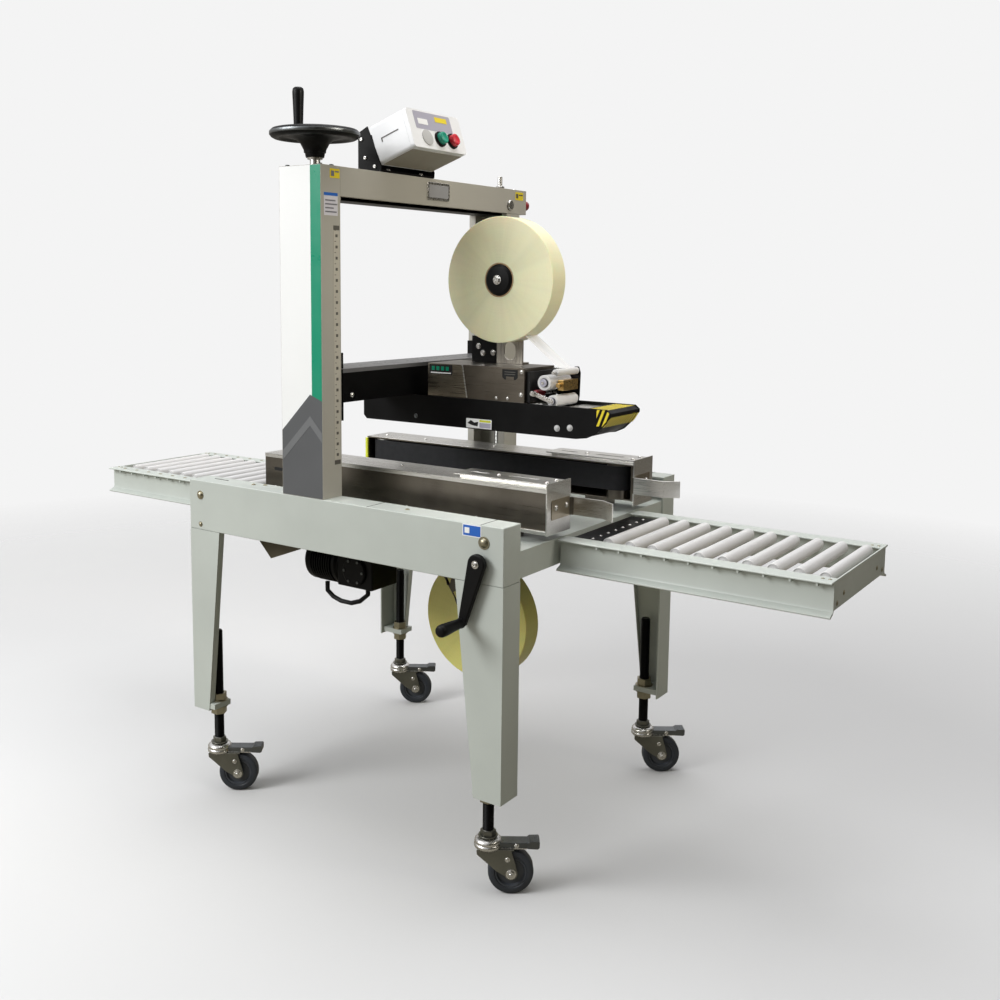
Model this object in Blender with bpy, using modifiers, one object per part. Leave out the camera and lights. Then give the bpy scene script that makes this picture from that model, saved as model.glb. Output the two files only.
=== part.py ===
"""A semi-automatic carton sealer.

It has a side-belt bed on four caster legs, a lifting tape head on a gantry and two roller conveyors.
Metres, +Z up. X runs along the conveyors with the infeed end at +X, and Y across with the crank side at -Y.
"""

import math

import bmesh
import bpy
from mathutils import Matrix, Vector

GAP = 0.0003
SHEET = 0.004
THIN = 0.003
LAP = 0.002
INSET = 0.001
CHAMFER = 0.004

# Side panels, legs and bed
FRAME_X = 0.478
FRAME_Y = 0.413
FLANGE = 0.066
PANEL_TOP = 0.824
PANEL_BOTTOM = 0.698
PANEL_LIP = 0.03
BED_TOP = 0.762
BED_SHEET = 0.006
MEMBER_X = 0.034
BED_SLOT_X = (-0.03, 0.34)
BED_SLOT_Y = 0.045
LEG_BOTTOM = 0.222
LEG_TOP_WIDTH = {1: 0.123, -1: 0.106}
LEG_FOOT_WIDTH = {1: 0.071, -1: 0.056}
STEM_HOLE_Z = (0.2, 0.32)
CRANK_HOLE_Y = (-0.43, -0.4)
HEAD_SLOT_Z = (0.74, 0.78)

# Hanger plate with its post, under the bed
HANGER_X = (-0.338, -0.2)
HANGER_RIM = 0.66
HANGER_TIP = (-0.3, 0.622)
HANGER_Y = (-0.305, -0.3)
HANGER_POST_X = (-0.33, -0.21)
HANGER_POST_Y = (-0.32, -0.28)

# Levelling stems and swivel casters
STEM_X = 0.424
STEM_Y = 0.378
STEM_RADIUS = 0.0125
STEM_BOTTOM = 0.1283
STEM_TOP = 0.43
CLAMP_HALF = 0.021
CLAMP_Z = (0.228, 0.242)
WHEEL_RADIUS = 0.05
WHEEL_HALF_WIDTH = 0.016
WHEEL_BORE = 0.0063
WHEEL_TRAIL = 0.05
WHEEL_SHOULDER = 0.005
WHEEL_DISH = 0.036
CASTER_TURN = math.radians(35)
FORK_INNER = 0.0185
FORK_TOP = (0.108, 0.118)
FORK_REAR = 0.026
FORK_FRONT = 0.052
FORK_HALF_WIDTH = 0.0225
CHEEK_RADIUS = 0.015
CHEEK_DROP = 0.008
COLLAR_RADIUS = 0.03
COLLAR_TOP = 0.128
COLLAR_EDGE = 0.124
COLLAR_NECK = 0.02
LEVER_ROOT = 0.03
LEVER_HALF_WIDTH = 0.013
LEVER_RISE = 0.014
LEVER_REACH = 0.112
LEVER_PAD = 0.026
AXLE_RADIUS = 0.006
AXLE_HALF = 0.026

# Gantry: two channel columns, a top beam, a screw in each column
COLUMN_X = (-0.149, -0.021)
COLUMN_DEPTH = 0.065
COLUMN_LIP = 0.022
COLUMN_TOP = 1.585
BEAM_BOTTOM = 1.518
BEAM_FAR_Y = 0.447
SCREW_X = -0.066
SCREW_Y = 0.382
SCREW_RADIUS = 0.01
SCREW_BOTTOM = 0.84
SCREW_TIP = 0.006
SCREW_HEADROOM = 0.03
CAP_HOLE_Z = (1.57, 1.6)
BEAM_LIP = 0.03
STRIP_DROP = 0.009
STRIP_WIDTH = 0.06
STRIP_END = 0.02
LIFT_STOP_PLACE = (-0.06, 0.37)
LIFT_STOP_RADIUS = 0.006
LIFT_STOP_TOP = 1.621

# Handwheel on the near column
WHEEL_Z = 1.655
HANDWHEEL_RADIUS = 0.091
HANDWHEEL_RIM = 0.011
HUB_RADIUS = 0.025
HUB_Z = (1.602, 1.622)
HUB_TOP = 1.652
CONE_RADIUS = 0.044
CONE_TOP = 1.642
RIM_REACH = 108
SHAFT_RADIUS = 0.012
GRIP_TURN = math.radians(160)
GRIP_ORBIT = 0.082
GRIP_TOP = 1.77
GRIP_NECK = 0.007
GRIP_FOOT = 0.011
GRIP_FLARE = 0.0135
GRIP_TIP = 0.0115
GRIP_COLLAR = 0.014

# Control box, tilted back on its bracket
BOX_CENTRE = (0.011, -0.095, 1.666)
BOX_SIZE = (0.113, 0.21, 0.097)
BOX_TILT = math.radians(19)
BRACKET_X = (-0.094, -0.088)
BRACKET_TOP = 1.68
BRACKET_FOOT = (-0.025, 0.006)
SHELF_X = -0.03
SHELF_Z = (1.63, 1.645)
BUTTON_RADIUS = 0.0155
BUTTON_REACH = 0.017
BUTTON_POCKET = 0.012
START_PLACE = (-0.092, -0.02)
STOP_PLACE = (-0.044, -0.02)

# Crossarm with a carriage in each column
CARRIAGE_Z = (1.0, 1.16)
CARRIAGE_X = (-0.14, -0.03)
CARRIAGE_SHEET = 0.014
ARM_Z = (1.044, 1.122)
ARM_X = (-0.135, -0.021)
ARM_WALL = 0.006
NECK_X = (-0.11, -0.05)
NUT_Z = (1.045, 1.115)
HEAD_HANGER_X = (-0.12, -0.04)
HEAD_HANGER_FOOT = 0.99

# Upper tape head
HEAD_HALF = 0.073
HEAD_BOTTOM = 0.97
HEAD_TOP = 1.043
HEAD_REAR = -0.187
REAR_CORNER = 0.01
NOSE_UNDER = ((0.45, 0.0), (0.478, 0.004), (0.5, 0.014), (0.515, 0.028))
NOSE_BROW = ((0.539, 0.057), (0.539, 0.064))
NOSE_BACK = 0.528
RAMP_REAR = 0.43
RAMP_ROOF = 0.47
CARTRIDGE_X = (0.02, 0.306)
CARTRIDGE_Z = (1.0, 1.125)
MAST_Y = (0.034, 0.039)
MAST_X = (0.158, 0.235)
ROLL_X = 0.205
ROLL_Z = 1.332
ROLL_RADIUS = 0.152
ROLL_Y = (-0.03, 0.028)
CORE_RADIUS = 0.038
HUB_BORE = 0.0083
PIN_RADIUS = 0.008
PIN_START = -0.04
MAST_SHOULDER = 1.2
MAST_TIP_RADIUS = 0.025
MAST_FOOT_Y = 0.066
WINDOW_PLACE = (0.197, 1.152)
WINDOW_RADIUS = 0.017
WINDOW_RISE = 0.01
HUB_RIM = 0.006
HUB_FRONT = 0.007
ARM_PIVOT = (0.325, 1.066)
APPLY_PLACE = (0.349, 1.092)
APPLY_RADIUS = 0.018
APPLY_HALF = 0.05
WIPE_PLACE = (0.372, 1.05)
WIPE_RADIUS = 0.014
CHEEK_Y = (0.055, 0.058)
CHEEK_TIP = (0.383, 1.122)
CHEEK_TIP_RADIUS = 0.0065
BAR_PLACE = (0.377, 1.117)
BAR_RADIUS = 0.005
PIVOT_RADIUS = 0.0057
PIVOT_HALF = 0.0665
ROLLER_PIN_RADIUS = 0.004
ROLLER_BORE = 0.0043

# Side-belt drives
DRIVE_X = (-0.366, 0.484)
DRIVE_Y = (0.165, 0.255)
DRIVE_Z = (0.79, 0.882)
BELT_FACE = 0.15
BELT_Z = (0.815, 0.875)
BELT_X = (-0.358, 0.474)
BELT_BACK = 0.226
BELT_SHEET = 0.005
DRUM_OVERHANG = 0.008
FOOT_PLACES = (-0.28, 0.36)
FOOT_HALF = (0.03, 0.03)
GUIDE_X = 0.602
GUIDE_Z = (0.812, 0.852)
GUIDE_FLARE = 0.022
GUIDE_BEND = 0.567
GUIDE_ROOT = 0.01
END_CAP = 0.006
END_INNER = 0.157
FOOT_OUTER = 0.245

# Width crank on the near panel
CRANK_X = 0.422
CRANK_Z = 0.744
CRANK_END = (0.387, 0.613)
CRANK_Y = (-0.435, -0.421)
CRANK_HUB = 0.021
CRANK_TIP = 0.0095
CRANK_GRIP_END = -0.512
CRANK_SHAFT = 0.009
CRANK_SHAFT_END = -0.385
CRANK_GRIP_TIP = 0.009
CRANK_GRIP_RADIUS = 0.0135
CRANK_GRIP_BULGE = 0.016
CRANK_GRIP_FOOT = 0.0105
CRANK_GRIP_NECK = 0.007

# Drive motor with its lead
MOTOR_X = (-0.24, -0.125)
MOTOR_Y = -0.2
MOTOR_Z = 0.618
MOTOR_RADIUS = 0.056
GEARBOX_X = -0.012
GEARBOX_DROP = 0.048
GEARBOX_HALF = 0.05
TERMINAL_X = (-0.225, -0.155)
TERMINAL_HALF = 0.035
TERMINAL_RISE = (0.04, 0.075)
FAN_COVER = (0.006, 0.05)
FAN_CHAMFER = 0.014
MOTOR_FLANGE = 0.018
MOTOR_STEP = 0.003
LEAD_RADIUS = 0.006
LEAD_OFFSET = 0.02
LEAD_START_X = -0.185
LEAD_BENDS = ((-0.165, 0.526), (-0.138, 0.519), (-0.105, 0.519), (-0.076, 0.529), (-0.05, 0.55))

# Lower tape head and its roll
LOWER_ROLL_X = 0.145
LOWER_ROLL_Z = 0.475
LOWER_HEAD_BOTTOM = 0.665
LOWER_HEAD_WALLS = (0.005, 0.02)
BRACE_TOP = 0.68
BRACE_ROOT = (-0.02, 0.1)
BRACE_FOOT = (0.016, 0.012)
BRACE_Y = (0.04, 0.044)
LOWER_PIN_HALF = 0.048

# Conveyors
RAIL_HALF = 0.2
RAIL_WEB = 0.182
RAIL_BOTTOM = 0.69
RAIL_FLANGE = 0.045
RAIL_LIP_RISE = 0.012
RAIL_LIP = 0.005
THROAT_DROP = 0.03
EXIT_SHIFT = 0.02
CONVEYOR_END = 1.086
ROLLER_COUNT = 10
ROLLER_FIRST = 0.577
ROLLER_PITCH = 0.0533
ROLLER_RADIUS = 0.0135
ROLLER_Z = 0.7545
ROLLER_HALF = 0.143
JOURNAL_RADIUS = 0.005

# The crank reaches out past the frame, so the conveyors' middle line is this far from the box's middle
MIDLINE_Y = 0.0325

SIDES = {"near": -1, "far": 1}
ENDS = {"infeed": 1, "exit": -1}

WELD = 0.00001
AXIS = {"x": Vector((1, 0, 0)), "y": Vector((0, 1, 0)), "z": Vector((0, 0, 1))}
QUARTER = math.pi / 2
TURN_TO = {
    "x": Matrix.Rotation(QUARTER, 4, "Y"),
    "y": Matrix.Rotation(-QUARTER, 4, "X"),
    "z": Matrix.Identity(4),
}
LIE_ACROSS = {
    "x": Matrix.Rotation(QUARTER, 4, "Z") @ Matrix.Rotation(QUARTER, 4, "X"),
    "y": Matrix.Rotation(QUARTER, 4, "X"),
    "z": Matrix.Identity(4),
}


def clear_scene():
    for obj in list(bpy.data.objects):
        bpy.data.objects.remove(obj, do_unlink=True)


def new_collection(name):
    made = bpy.data.collections.new(name)
    bpy.context.scene.collection.children.link(made)
    return made


def material(name, colour, roughness, metallic=0.0):
    made = bpy.data.materials.new(name)
    made.use_nodes = True
    shader = made.node_tree.nodes["Principled BSDF"]
    shader.inputs["Base Color"].default_value = (*colour, 1.0)
    shader.inputs["Roughness"].default_value = roughness
    shader.inputs["Metallic"].default_value = metallic
    return made


clear_scene()
PARTS = new_collection("carton_sealer")
CUTTERS = new_collection("cutters")

FRAME_PAINT = ("frame_paint", (0.5, 0.53, 0.49), 0.45, 0.0)
COLUMN_PAINT = ("column_paint", (0.42, 0.39, 0.33), 0.45, 0.0)
STEEL = ("stainless", (0.55, 0.53, 0.5), 0.3, 1.0)
ZINC = ("zinc", (0.6, 0.6, 0.6), 0.35, 1.0)
BLACK = ("black_paint", (0.015, 0.015, 0.017), 0.4, 0.0)
BLACK_PLASTIC = ("black_plastic", (0.02, 0.02, 0.02), 0.5, 0.0)
RUBBER = ("belt_rubber", (0.02, 0.02, 0.022), 0.8, 0.0)
TREAD = ("wheel_tread", (0.12, 0.12, 0.13), 0.6, 0.0)
TAPE = ("tape_film", (0.85, 0.83, 0.6), 0.3, 0.0)
BOX_WHITE = ("box_white", (0.75, 0.75, 0.74), 0.4, 0.0)
ROLLER_WHITE = ("roller_plastic", (0.8, 0.8, 0.8), 0.4, 0.0)
GREEN = ("button_green", (0.02, 0.35, 0.12), 0.35, 0.0)
RED = ("button_red", (0.6, 0.03, 0.03), 0.35, 0.0)


def finish(obj, look, origin=None):
    """Gives the part its own material, sets its origin and shades its round faces smooth.

    A moving part has its origin on its joint's axis, and a still one in the middle of its own box.
    """
    name, colour, roughness, metallic = look
    obj.data.materials.clear()
    obj.data.materials.append(material(f"{obj.name}_{name}", colour, roughness, metallic))
    if origin is None:
        origin = sum((Vector(corner) for corner in obj.bound_box), Vector()) / 8 + obj.location
    move = Vector(origin) - obj.location
    obj.data.transform(Matrix.Translation(-move))
    obj.location = Vector(origin)
    for face in obj.data.polygons:
        face.use_smooth = True
    obj.data.set_sharp_from_angle(angle=math.radians(35))
    return obj


def link(name, mesh):
    made = bpy.data.objects.new(name, mesh)
    PARTS.objects.link(made)
    return made


def weld_seams(mesh):
    """Joins the loose caps and seams of a mesh and turns its faces outward."""
    shape = bmesh.new()
    shape.from_mesh(mesh)
    bmesh.ops.remove_doubles(shape, verts=shape.verts, dist=WELD)
    bmesh.ops.recalc_face_normals(shape, faces=shape.faces)
    shape.to_mesh(mesh)
    shape.free()


def as_mesh(source):
    """Replaces a curve or a profile by the closed mesh that it makes, under the same name."""
    bpy.context.view_layer.update()
    graph = bpy.context.evaluated_depsgraph_get()
    mesh = bpy.data.meshes.new_from_object(source.evaluated_get(graph))
    mesh.transform(source.matrix_world)
    weld_seams(mesh)
    name = source.name
    bpy.data.objects.remove(source, do_unlink=True)
    mesh.name = name
    return link(name, mesh)


def primitive(name, build, place):
    """A bmesh primitive, moved into place by a matrix."""
    shape = bmesh.new()
    build(shape)
    bmesh.ops.transform(shape, matrix=place, verts=shape.verts)
    mesh = bpy.data.meshes.new(name)
    shape.to_mesh(mesh)
    shape.free()
    return link(name, mesh)


def block(name, x, y, z):
    """A box between two values on each axis."""
    spans = [sorted(span) for span in (x, y, z)]
    centre = Matrix.Translation([(low + high) / 2 for low, high in spans])
    size = Matrix.Diagonal([high - low for low, high in spans] + [1.0])
    return primitive(name, lambda shape: bmesh.ops.create_cube(shape, size=1.0), centre @ size)


def rod(name, radius, axis, centre, start, end, segments=16):
    """A round bar along an axis, from start to end as measured from the centre."""
    place = Matrix.Translation(centre) @ TURN_TO[axis] @ Matrix.Translation((0, 0, (start + end) / 2))

    def build(shape):
        bmesh.ops.create_cone(
            shape,
            cap_ends=True,
            segments=segments,
            radius1=radius,
            radius2=radius,
            depth=end - start,
        )

    return primitive(name, build, place)


def prism(name, outline, axis, start, end):
    """A filled 2D curve extruded along an axis. A point gives its other two coordinates in x, y, z order."""
    curve = bpy.data.curves.new(name, "CURVE")
    curve.dimensions = "2D"
    curve.fill_mode = "BOTH"
    curve.extrude = (end - start) / 2
    line = curve.splines.new("POLY")
    line.points.add(len(outline) - 1)
    for point, (u, v) in zip(line.points, outline):
        point.co = (u, v, 0.0, 1.0)
    line.use_cyclic_u = True
    flat = link(name, curve)
    flat.matrix_world = Matrix.Translation(AXIS[axis] * (start + end) / 2) @ LIE_ACROSS[axis]
    return as_mesh(flat)


def turned(name, profile, axis, centre, segments=24, hollow=False):
    """Screws (radius, height) points round an axis. A hollow profile is a loop, a plain one is capped."""
    if not hollow:
        profile = [(0.0, profile[0][1]), *profile, (0.0, profile[-1][1])]
    mesh = bpy.data.meshes.new(name)
    count = len(profile)
    edges = [(index, index + 1) for index in range(count - 1)]
    if hollow:
        edges.append((count - 1, 0))
    mesh.from_pydata([(radius, 0.0, height) for radius, height in profile], edges, [])
    line = link(name, mesh)
    line.matrix_world = Matrix.Translation(centre) @ TURN_TO[axis]
    screw = line.modifiers.new("turn", "SCREW")
    screw.angle = math.tau
    screw.steps = segments
    screw.render_steps = segments
    screw.use_merge_vertices = True
    screw.merge_threshold = WELD
    return as_mesh(line)


def combine(target, helper, operation):
    """Adds an exact Boolean with a helper that stays in the cutters collection."""
    for home in list(helper.users_collection):
        home.objects.unlink(helper)
    CUTTERS.objects.link(helper)
    helper.hide_render = True
    helper.display_type = "WIRE"
    change = target.modifiers.new(helper.name, "BOOLEAN")
    change.operation = operation
    change.solver = "EXACT"
    change.object = helper


def weld(target, *helpers):
    for helper in helpers:
        combine(target, helper, "UNION")


def cut(target, *helpers):
    for helper in helpers:
        combine(target, helper, "DIFFERENCE")


def settle(obj):
    """Turns the Booleans of a part into plain mesh and clears away the helpers."""
    graph = bpy.context.evaluated_depsgraph_get()
    mesh = bpy.data.meshes.new_from_object(obj.evaluated_get(graph))
    helpers = [change.object for change in obj.modifiers if change.type == "BOOLEAN"]
    obj.modifiers.clear()
    obj.data = mesh
    shape = bmesh.new()
    shape.from_mesh(mesh)
    bmesh.ops.remove_doubles(shape, verts=shape.verts, dist=WELD)
    shape.to_mesh(mesh)
    shape.free()
    for helper in helpers:
        bpy.data.objects.remove(helper, do_unlink=True)
    return obj


def arc(centre, radius, start, end, steps):
    points = []
    for step in range(steps + 1):
        angle = math.radians(start + (end - start) * step / steps)
        points.append((centre[0] + radius * math.cos(angle), centre[1] + radius * math.sin(angle)))
    return points


def mirrored(side, near, far):
    """Orders two distances from the centre line as (low, high) on the given side."""
    return tuple(sorted((side * near, side * far)))


def side_panel(name, side):
    outer = FRAME_Y
    inner = FRAME_Y - FLANGE
    outline = [
        (side * outer, PANEL_BOTTOM),
        (side * outer, PANEL_TOP),
        (side * inner, PANEL_TOP),
        (side * inner, PANEL_TOP - SHEET),
        (side * (outer - SHEET), PANEL_TOP - SHEET),
        (side * (outer - SHEET), PANEL_BOTTOM + SHEET),
        (side * (outer - PANEL_LIP), PANEL_BOTTOM + SHEET),
        (side * (outer - PANEL_LIP), PANEL_BOTTOM),
    ]
    panel = prism(name, outline, "x", -FRAME_X, FRAME_X)
    for end in (-1, 1):
        x = mirrored(end, FRAME_X - SHEET, FRAME_X)
        y = mirrored(side, inner, outer - LAP)
        weld(panel, block(f"{name}_end", x, y, (PANEL_BOTTOM, PANEL_TOP - LAP)))
    if side < 0:
        cut(panel, rod("crank_hole", CRANK_SHAFT + GAP, "y", (CRANK_X, 0, CRANK_Z), *CRANK_HOLE_Y, 16))
    finish(settle(panel), FRAME_PAINT)


def leg(name, side, end):
    top = PANEL_BOTTOM - GAP
    web = [
        (end * FRAME_X, LEG_BOTTOM),
        (end * FRAME_X, top),
        (end * (FRAME_X - LEG_TOP_WIDTH[end]), top),
        (end * (FRAME_X - LEG_FOOT_WIDTH[end]), LEG_BOTTOM),
    ]
    y = mirrored(side, FRAME_Y - SHEET, FRAME_Y)
    made = prism(name, web, "y", *y)
    x = mirrored(end, FRAME_X - SHEET, FRAME_X)
    y = mirrored(side, FRAME_Y - FLANGE, FRAME_Y - LAP)
    weld(made, block(f"{name}_flange", x, y, (LEG_BOTTOM, top)))
    x = mirrored(end, STEM_X - CLAMP_HALF, FRAME_X - LAP)
    y = mirrored(side, STEM_Y - CLAMP_HALF, FRAME_Y - LAP)
    weld(made, block(f"{name}_clamp", x, y, CLAMP_Z))
    hole = rod(f"{name}_hole", STEM_RADIUS + GAP, "z", (end * STEM_X, side * STEM_Y, 0), *STEM_HOLE_Z, 20)
    cut(made, hole)
    finish(settle(made), FRAME_PAINT)


def caster(label, side, end):
    x = end * STEM_X
    y = side * STEM_Y
    stem = turned(
        f"stem_{label}",
        [(STEM_RADIUS - LAP, STEM_BOTTOM), (STEM_RADIUS, STEM_BOTTOM + CHAMFER), (STEM_RADIUS, STEM_TOP)],
        "z",
        (x, y, 0),
        20,
    )
    finish(stem, BLACK, (x, y, STEM_BOTTOM))
    axle_x = x + WHEEL_TRAIL
    cheek = [
        (x - FORK_REAR + LAP, FORK_TOP[1] - LAP),
        (x - FORK_REAR + LAP, FORK_TOP[0] - CHEEK_DROP),
        *arc((axle_x, WHEEL_RADIUS), CHEEK_RADIUS, 205, 375, 8),
        (x + FORK_FRONT, FORK_TOP[0] - CHEEK_DROP),
        (x + FORK_FRONT - LAP, FORK_TOP[1] - LAP),
    ]
    fork_y = (y - FORK_HALF_WIDTH, y + FORK_HALF_WIDTH)
    fork = block(f"fork_{label}", (x - FORK_REAR, x + FORK_FRONT), fork_y, FORK_TOP)
    for hand in (-1, 1):
        near = y + hand * FORK_INNER
        far = y + hand * (FORK_HALF_WIDTH - INSET / 2)
        weld(fork, prism(f"cheek_{label}", cheek, "y", min(near, far), max(near, far)))
    weld(fork, rod(f"axle_{label}", AXLE_RADIUS, "y", (axle_x, y, WHEEL_RADIUS), -AXLE_HALF, AXLE_HALF, 12))
    collar = [(COLLAR_RADIUS, FORK_TOP[1] - LAP), (COLLAR_RADIUS, COLLAR_EDGE), (COLLAR_NECK, COLLAR_TOP)]
    weld(fork, turned(f"collar_{label}", collar, "z", (x, y, 0), 24))
    lever = [
        (x + LEVER_ROOT, FORK_TOP[0] + INSET),
        (x + LEVER_REACH - LEVER_PAD, FORK_TOP[0] - CHAMFER),
        (x + LEVER_REACH - CHAMFER, FORK_TOP[0] - CHAMFER),
        (x + LEVER_REACH, FORK_TOP[0]),
        (x + LEVER_REACH, FORK_TOP[0] + LEVER_RISE),
        (x + LEVER_REACH - LEVER_PAD + CHAMFER, FORK_TOP[0] + LEVER_RISE),
        (x + LEVER_REACH - LEVER_PAD, FORK_TOP[1] - LAP),
        (x + LEVER_ROOT, FORK_TOP[1] - INSET),
    ]
    weld(fork, prism(f"lever_{label}", lever, "y", y - LEVER_HALF_WIDTH, y + LEVER_HALF_WIDTH))
    fork = finish(settle(fork), ZINC, (x, y, COLLAR_TOP))
    fork.rotation_euler.z = CASTER_TURN
    rim = WHEEL_RADIUS
    half = WHEEL_HALF_WIDTH
    profile = [
        (WHEEL_BORE, -half),
        (WHEEL_DISH, -half),
        (rim - WHEEL_SHOULDER, -half),
        (rim, -half + WHEEL_SHOULDER),
        (rim, half - WHEEL_SHOULDER),
        (rim - WHEEL_SHOULDER, half),
        (WHEEL_DISH, half),
        (WHEEL_BORE, half),
    ]
    wheel = turned(f"wheel_{label}", profile, "y", (axle_x, y, rim), 28, hollow=True)
    wheel = finish(wheel, TREAD, (axle_x, y, rim))
    wheel.location.x = x + WHEEL_TRAIL * math.cos(CASTER_TURN)
    wheel.location.y = y + WHEEL_TRAIL * math.sin(CASTER_TURN)
    wheel.rotation_euler.z = CASTER_TURN


def bed_frame():
    half = FRAME_Y - SHEET - GAP
    inner = FRAME_X - SHEET - GAP
    z = (BED_TOP - BED_SHEET, BED_TOP - GAP)
    bed = block("bed_frame", (-inner + LAP, inner - LAP), (-half, half), z)
    for end in (-1, 1):
        x = mirrored(end, inner - MEMBER_X, inner)
        z = (PANEL_BOTTOM + SHEET + GAP, BED_TOP)
        weld(bed, block("end_member", x, (-half + INSET, half - INSET), z))
    post_z = (PANEL_BOTTOM + SHEET + LAP, BED_TOP - LAP)
    plate = [
        (HANGER_X[0], post_z[0] + CHAMFER),
        (HANGER_X[1], post_z[0] + CHAMFER),
        (HANGER_X[1], HANGER_RIM),
        HANGER_TIP,
        (HANGER_X[0], HANGER_RIM),
    ]
    weld(bed, prism("hanger_plate", plate, "y", *HANGER_Y))
    weld(bed, block("hanger_post", HANGER_POST_X, HANGER_POST_Y, post_z))
    cut(bed, block("head_slot", BED_SLOT_X, (-BED_SLOT_Y, BED_SLOT_Y), HEAD_SLOT_Z))
    finish(settle(bed), FRAME_PAINT)


def column(name, side):
    top = COLUMN_TOP if side < 0 else BEAM_BOTTOM - GAP
    low, high = COLUMN_X
    outer = side * FRAME_Y
    open_side = side * (FRAME_Y - COLUMN_DEPTH)
    wall = side * SHEET
    outline = [
        (low, outer),
        (high, outer),
        (high, open_side),
        (high - COLUMN_LIP, open_side),
        (high - COLUMN_LIP, open_side + wall),
        (high - SHEET, open_side + wall),
        (high - SHEET, outer - wall),
        (low + SHEET, outer - wall),
        (low + SHEET, open_side + wall),
        (low + COLUMN_LIP, open_side + wall),
        (low + COLUMN_LIP, open_side),
        (low, open_side),
    ]
    made = prism(name, outline, "z", PANEL_TOP + GAP, top)
    if side < 0:
        y = mirrored(side, FRAME_Y - COLUMN_DEPTH + INSET, FRAME_Y - INSET)
        weld(made, block("column_cap", (low + INSET, high - INSET), y, (top - SHEET, top - GAP)))
        cut(made, rod("cap_hole", SHAFT_RADIUS + GAP, "z", (SCREW_X, side * SCREW_Y, 0), *CAP_HOLE_Z, 20))
    finish(settle(made), COLUMN_PAINT)


def lead_screw(name, side):
    top = BEAM_BOTTOM - SCREW_HEADROOM
    foot = SCREW_BOTTOM
    profile = [
        (SCREW_TIP, foot),
        (SCREW_RADIUS, foot + CHAMFER),
        (SCREW_RADIUS, top - CHAMFER),
        (SCREW_TIP, top),
    ]
    made = turned(name, profile, "z", (SCREW_X, side * SCREW_Y, 0), 16)
    finish(made, ZINC, (SCREW_X, side * SCREW_Y, foot))


def top_beam():
    near = -(FRAME_Y - COLUMN_DEPTH - GAP)
    low, high = COLUMN_X
    wall = SHEET
    outline = [
        (low, BEAM_BOTTOM),
        (low, COLUMN_TOP),
        (high, COLUMN_TOP),
        (high, BEAM_BOTTOM),
        (high - BEAM_LIP, BEAM_BOTTOM),
        (high - BEAM_LIP, BEAM_BOTTOM + wall),
        (high - wall, BEAM_BOTTOM + wall),
        (high - wall, COLUMN_TOP - wall),
        (low + wall, COLUMN_TOP - wall),
        (low + wall, BEAM_BOTTOM + wall),
        (low + BEAM_LIP, BEAM_BOTTOM + wall),
        (low + BEAM_LIP, BEAM_BOTTOM),
    ]
    beam = prism("top_beam", outline, "y", near, BEAM_FAR_Y)
    y = (near + INSET, FRAME_Y - COLUMN_DEPTH - STRIP_END)
    z = (BEAM_BOTTOM - STRIP_DROP, BEAM_BOTTOM + LAP)
    weld(beam, block("chain_cover", (high - STRIP_WIDTH, high - LAP), y, z))
    stop = (*LIFT_STOP_PLACE, 0)
    weld(beam, rod("lift_stop", LIFT_STOP_RADIUS, "z", stop, COLUMN_TOP - LAP, LIFT_STOP_TOP, 12))
    finish(settle(beam), COLUMN_PAINT)


def handwheel():
    x = SCREW_X
    y = -SCREW_Y
    rim = HANDWHEEL_RADIUS
    tube = HANDWHEEL_RIM
    profile = [
        (SHAFT_RADIUS, CAP_HOLE_Z[0] - INSET),
        (SHAFT_RADIUS, HUB_Z[0] - LAP),
        (HUB_RADIUS, HUB_Z[0]),
        (HUB_RADIUS, HUB_Z[1]),
        (CONE_RADIUS, CONE_TOP),
        (rim - tube, WHEEL_Z - CHAMFER),
        *arc((rim, WHEEL_Z), tube, -RIM_REACH, RIM_REACH, 4),
        (rim - tube, WHEEL_Z + CHAMFER),
        (HUB_RADIUS, CONE_TOP - LAP),
        (HUB_RADIUS - CHAMFER, HUB_TOP),
    ]
    wheel = turned("handwheel", profile, "z", (x, y, 0), 32)
    grip_x = x + GRIP_ORBIT * math.cos(GRIP_TURN)
    grip_y = y + GRIP_ORBIT * math.sin(GRIP_TURN)
    grip = [
        (GRIP_NECK, WHEEL_Z),
        (GRIP_NECK, WHEEL_Z + GRIP_COLLAR),
        (GRIP_FOOT, WHEEL_Z + GRIP_COLLAR + CHAMFER),
        (GRIP_FLARE, GRIP_TOP - GRIP_COLLAR),
        (GRIP_TIP, GRIP_TOP - CHAMFER),
        (GRIP_NECK, GRIP_TOP),
    ]
    weld(wheel, turned("handwheel_grip", grip, "z", (grip_x, grip_y, 0), 16))
    finish(settle(wheel), BLACK_PLASTIC, (x, y, WHEEL_Z))


def box_frame():
    """Matrix of the tilted control box: local X runs out of its front face, local Z up its front face."""
    return Matrix.Translation(BOX_CENTRE) @ Matrix.Rotation(-BOX_TILT, 4, "Y")


def button_centre(place):
    return box_frame() @ Vector((BOX_SIZE[0] / 2, place[0] - BOX_CENTRE[1], place[1]))


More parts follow.
